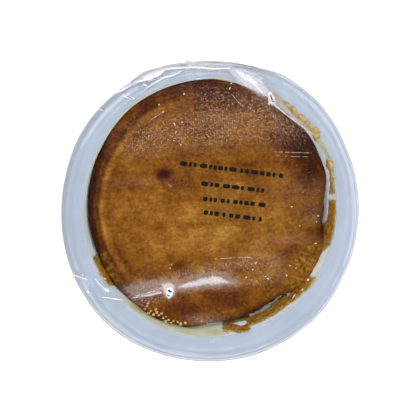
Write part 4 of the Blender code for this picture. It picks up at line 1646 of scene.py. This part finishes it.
def main():
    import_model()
    bpy.context.scene.view_settings.view_transform = "Standard"
    camera = place_camera()
    rim_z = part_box("basin")[1].z

    make_basin(plastic_material())
    make_sponge(camera, sponge_material(), rim_z)
    sauce = sauce_material()
    for node in SMEAR_OUTLINES:
        make_smear(camera, node, sauce, rim_z)
    film = film_material()
    make_film(camera, film, rim_z)
    make_folds(camera, film)
    water = drop_material()
    make_drops(camera, water, rim_z)
    # The large drops are painted pale, as painted glints
    make_glints(camera, pale_plastic("painted_glint_water", (0.98, 0.88, 0.74), 0.85), rim_z)
    make_beads(camera, syrup_bead_material(), rim_z)
    ink = plain_material("dark_ink", (0.006, 0.005, 0.004), 0.5 * MM, 0.2, Roughness=0.7,
                         Specular_IOR_Level=0.1)
    make_dashes(camera, ink, rim_z)
    make_scratches(camera, pale_plastic("scratched_film", (0.90, 0.74, 0.62), 0.55), rim_z)
    make_stage()
    make_lights()


def make_stage():
    bpy.ops.mesh.primitive_plane_add(size=8.0)
    floor = bpy.context.active_object
    floor.name = "floor"
    pale = plain_material("pale_floor", (0.93, 0.93, 0.93), 0.2, 0.01, Roughness=0.8,
                          Emission_Color=(1.0, 1.0, 1.0), Emission_Strength=0.16)
    floor.data.materials.append(pale)


def add_sun(name, azimuth, elevation, strength, spread):
    """A soft distant light, from an azimuth and an elevation in degrees."""
    light = bpy.data.lights.new(name, "SUN")
    light.energy = strength
    light.angle = math.radians(spread)
    lamp = bpy.data.objects.new(name, light)
    turn, rise = math.radians(azimuth), math.radians(elevation)
    back = Vector((math.cos(rise) * math.cos(turn), math.cos(rise) * math.sin(turn), math.sin(rise)))
    lamp.location = back
    lamp.rotation_euler = back.to_track_quat("Z", "Y").to_euler()
    bpy.context.scene.collection.objects.link(lamp)
    return lamp


def add_softbox(name, place, size, power, aim=(0.0, 0.0, 0.04)):
    light = bpy.data.lights.new(name, "AREA")
    light.shape = "RECTANGLE"
    light.size, light.size_y = size
    light.energy = power
    lamp = bpy.data.objects.new(name, light)
    lamp.location = place
    lamp.rotation_euler = (Vector(aim) - Vector(place)).to_track_quat("-Z", "Y").to_euler()
    bpy.context.scene.collection.objects.link(lamp)
    return lamp


# The sky's grey from the horizon, at 0, to the zenith, at 1
SKY = ((0.0, 1.0), (0.10, 0.90), (0.22, 0.55), (0.55, 0.62), (0.80, 0.40), (0.89, 0.04), (0.93, 0.005))


def make_lights():
    """A pale horizon, a dark sky overhead for the film to mirror, and soft lights round the table."""
    world = bpy.data.worlds.new("studio")
    bpy.context.scene.world = world
    world.use_nodes = True
    nodes, links = world.node_tree.nodes, world.node_tree.links
    coordinates = nodes.new("ShaderNodeTexCoord")
    split = nodes.new("ShaderNodeSeparateXYZ")
    ramp = nodes.new("ShaderNodeValToRGB")
    set_ramp(ramp, [(place, (grey, grey, grey)) for place, grey in SKY])
    links.new(coordinates.outputs["Generated"], split.inputs[0])
    links.new(split.outputs["Z"], ramp.inputs["Fac"])
    links.new(ramp.outputs["Color"], nodes["Background"].inputs["Color"])
    nodes["Background"].inputs["Strength"].default_value = 1.0
    add_sun("key", 125.0, 42.0, 1.65, 58.0)
    add_sun("fill", 5.0, 40.0, 1.50, 58.0)
    add_sun("front", 255.0, 40.0, 1.40, 58.0)
    add_softbox("overhead_strip", (0.05, 0.14, 1.2), (0.22, 0.12), 0.9)


main()
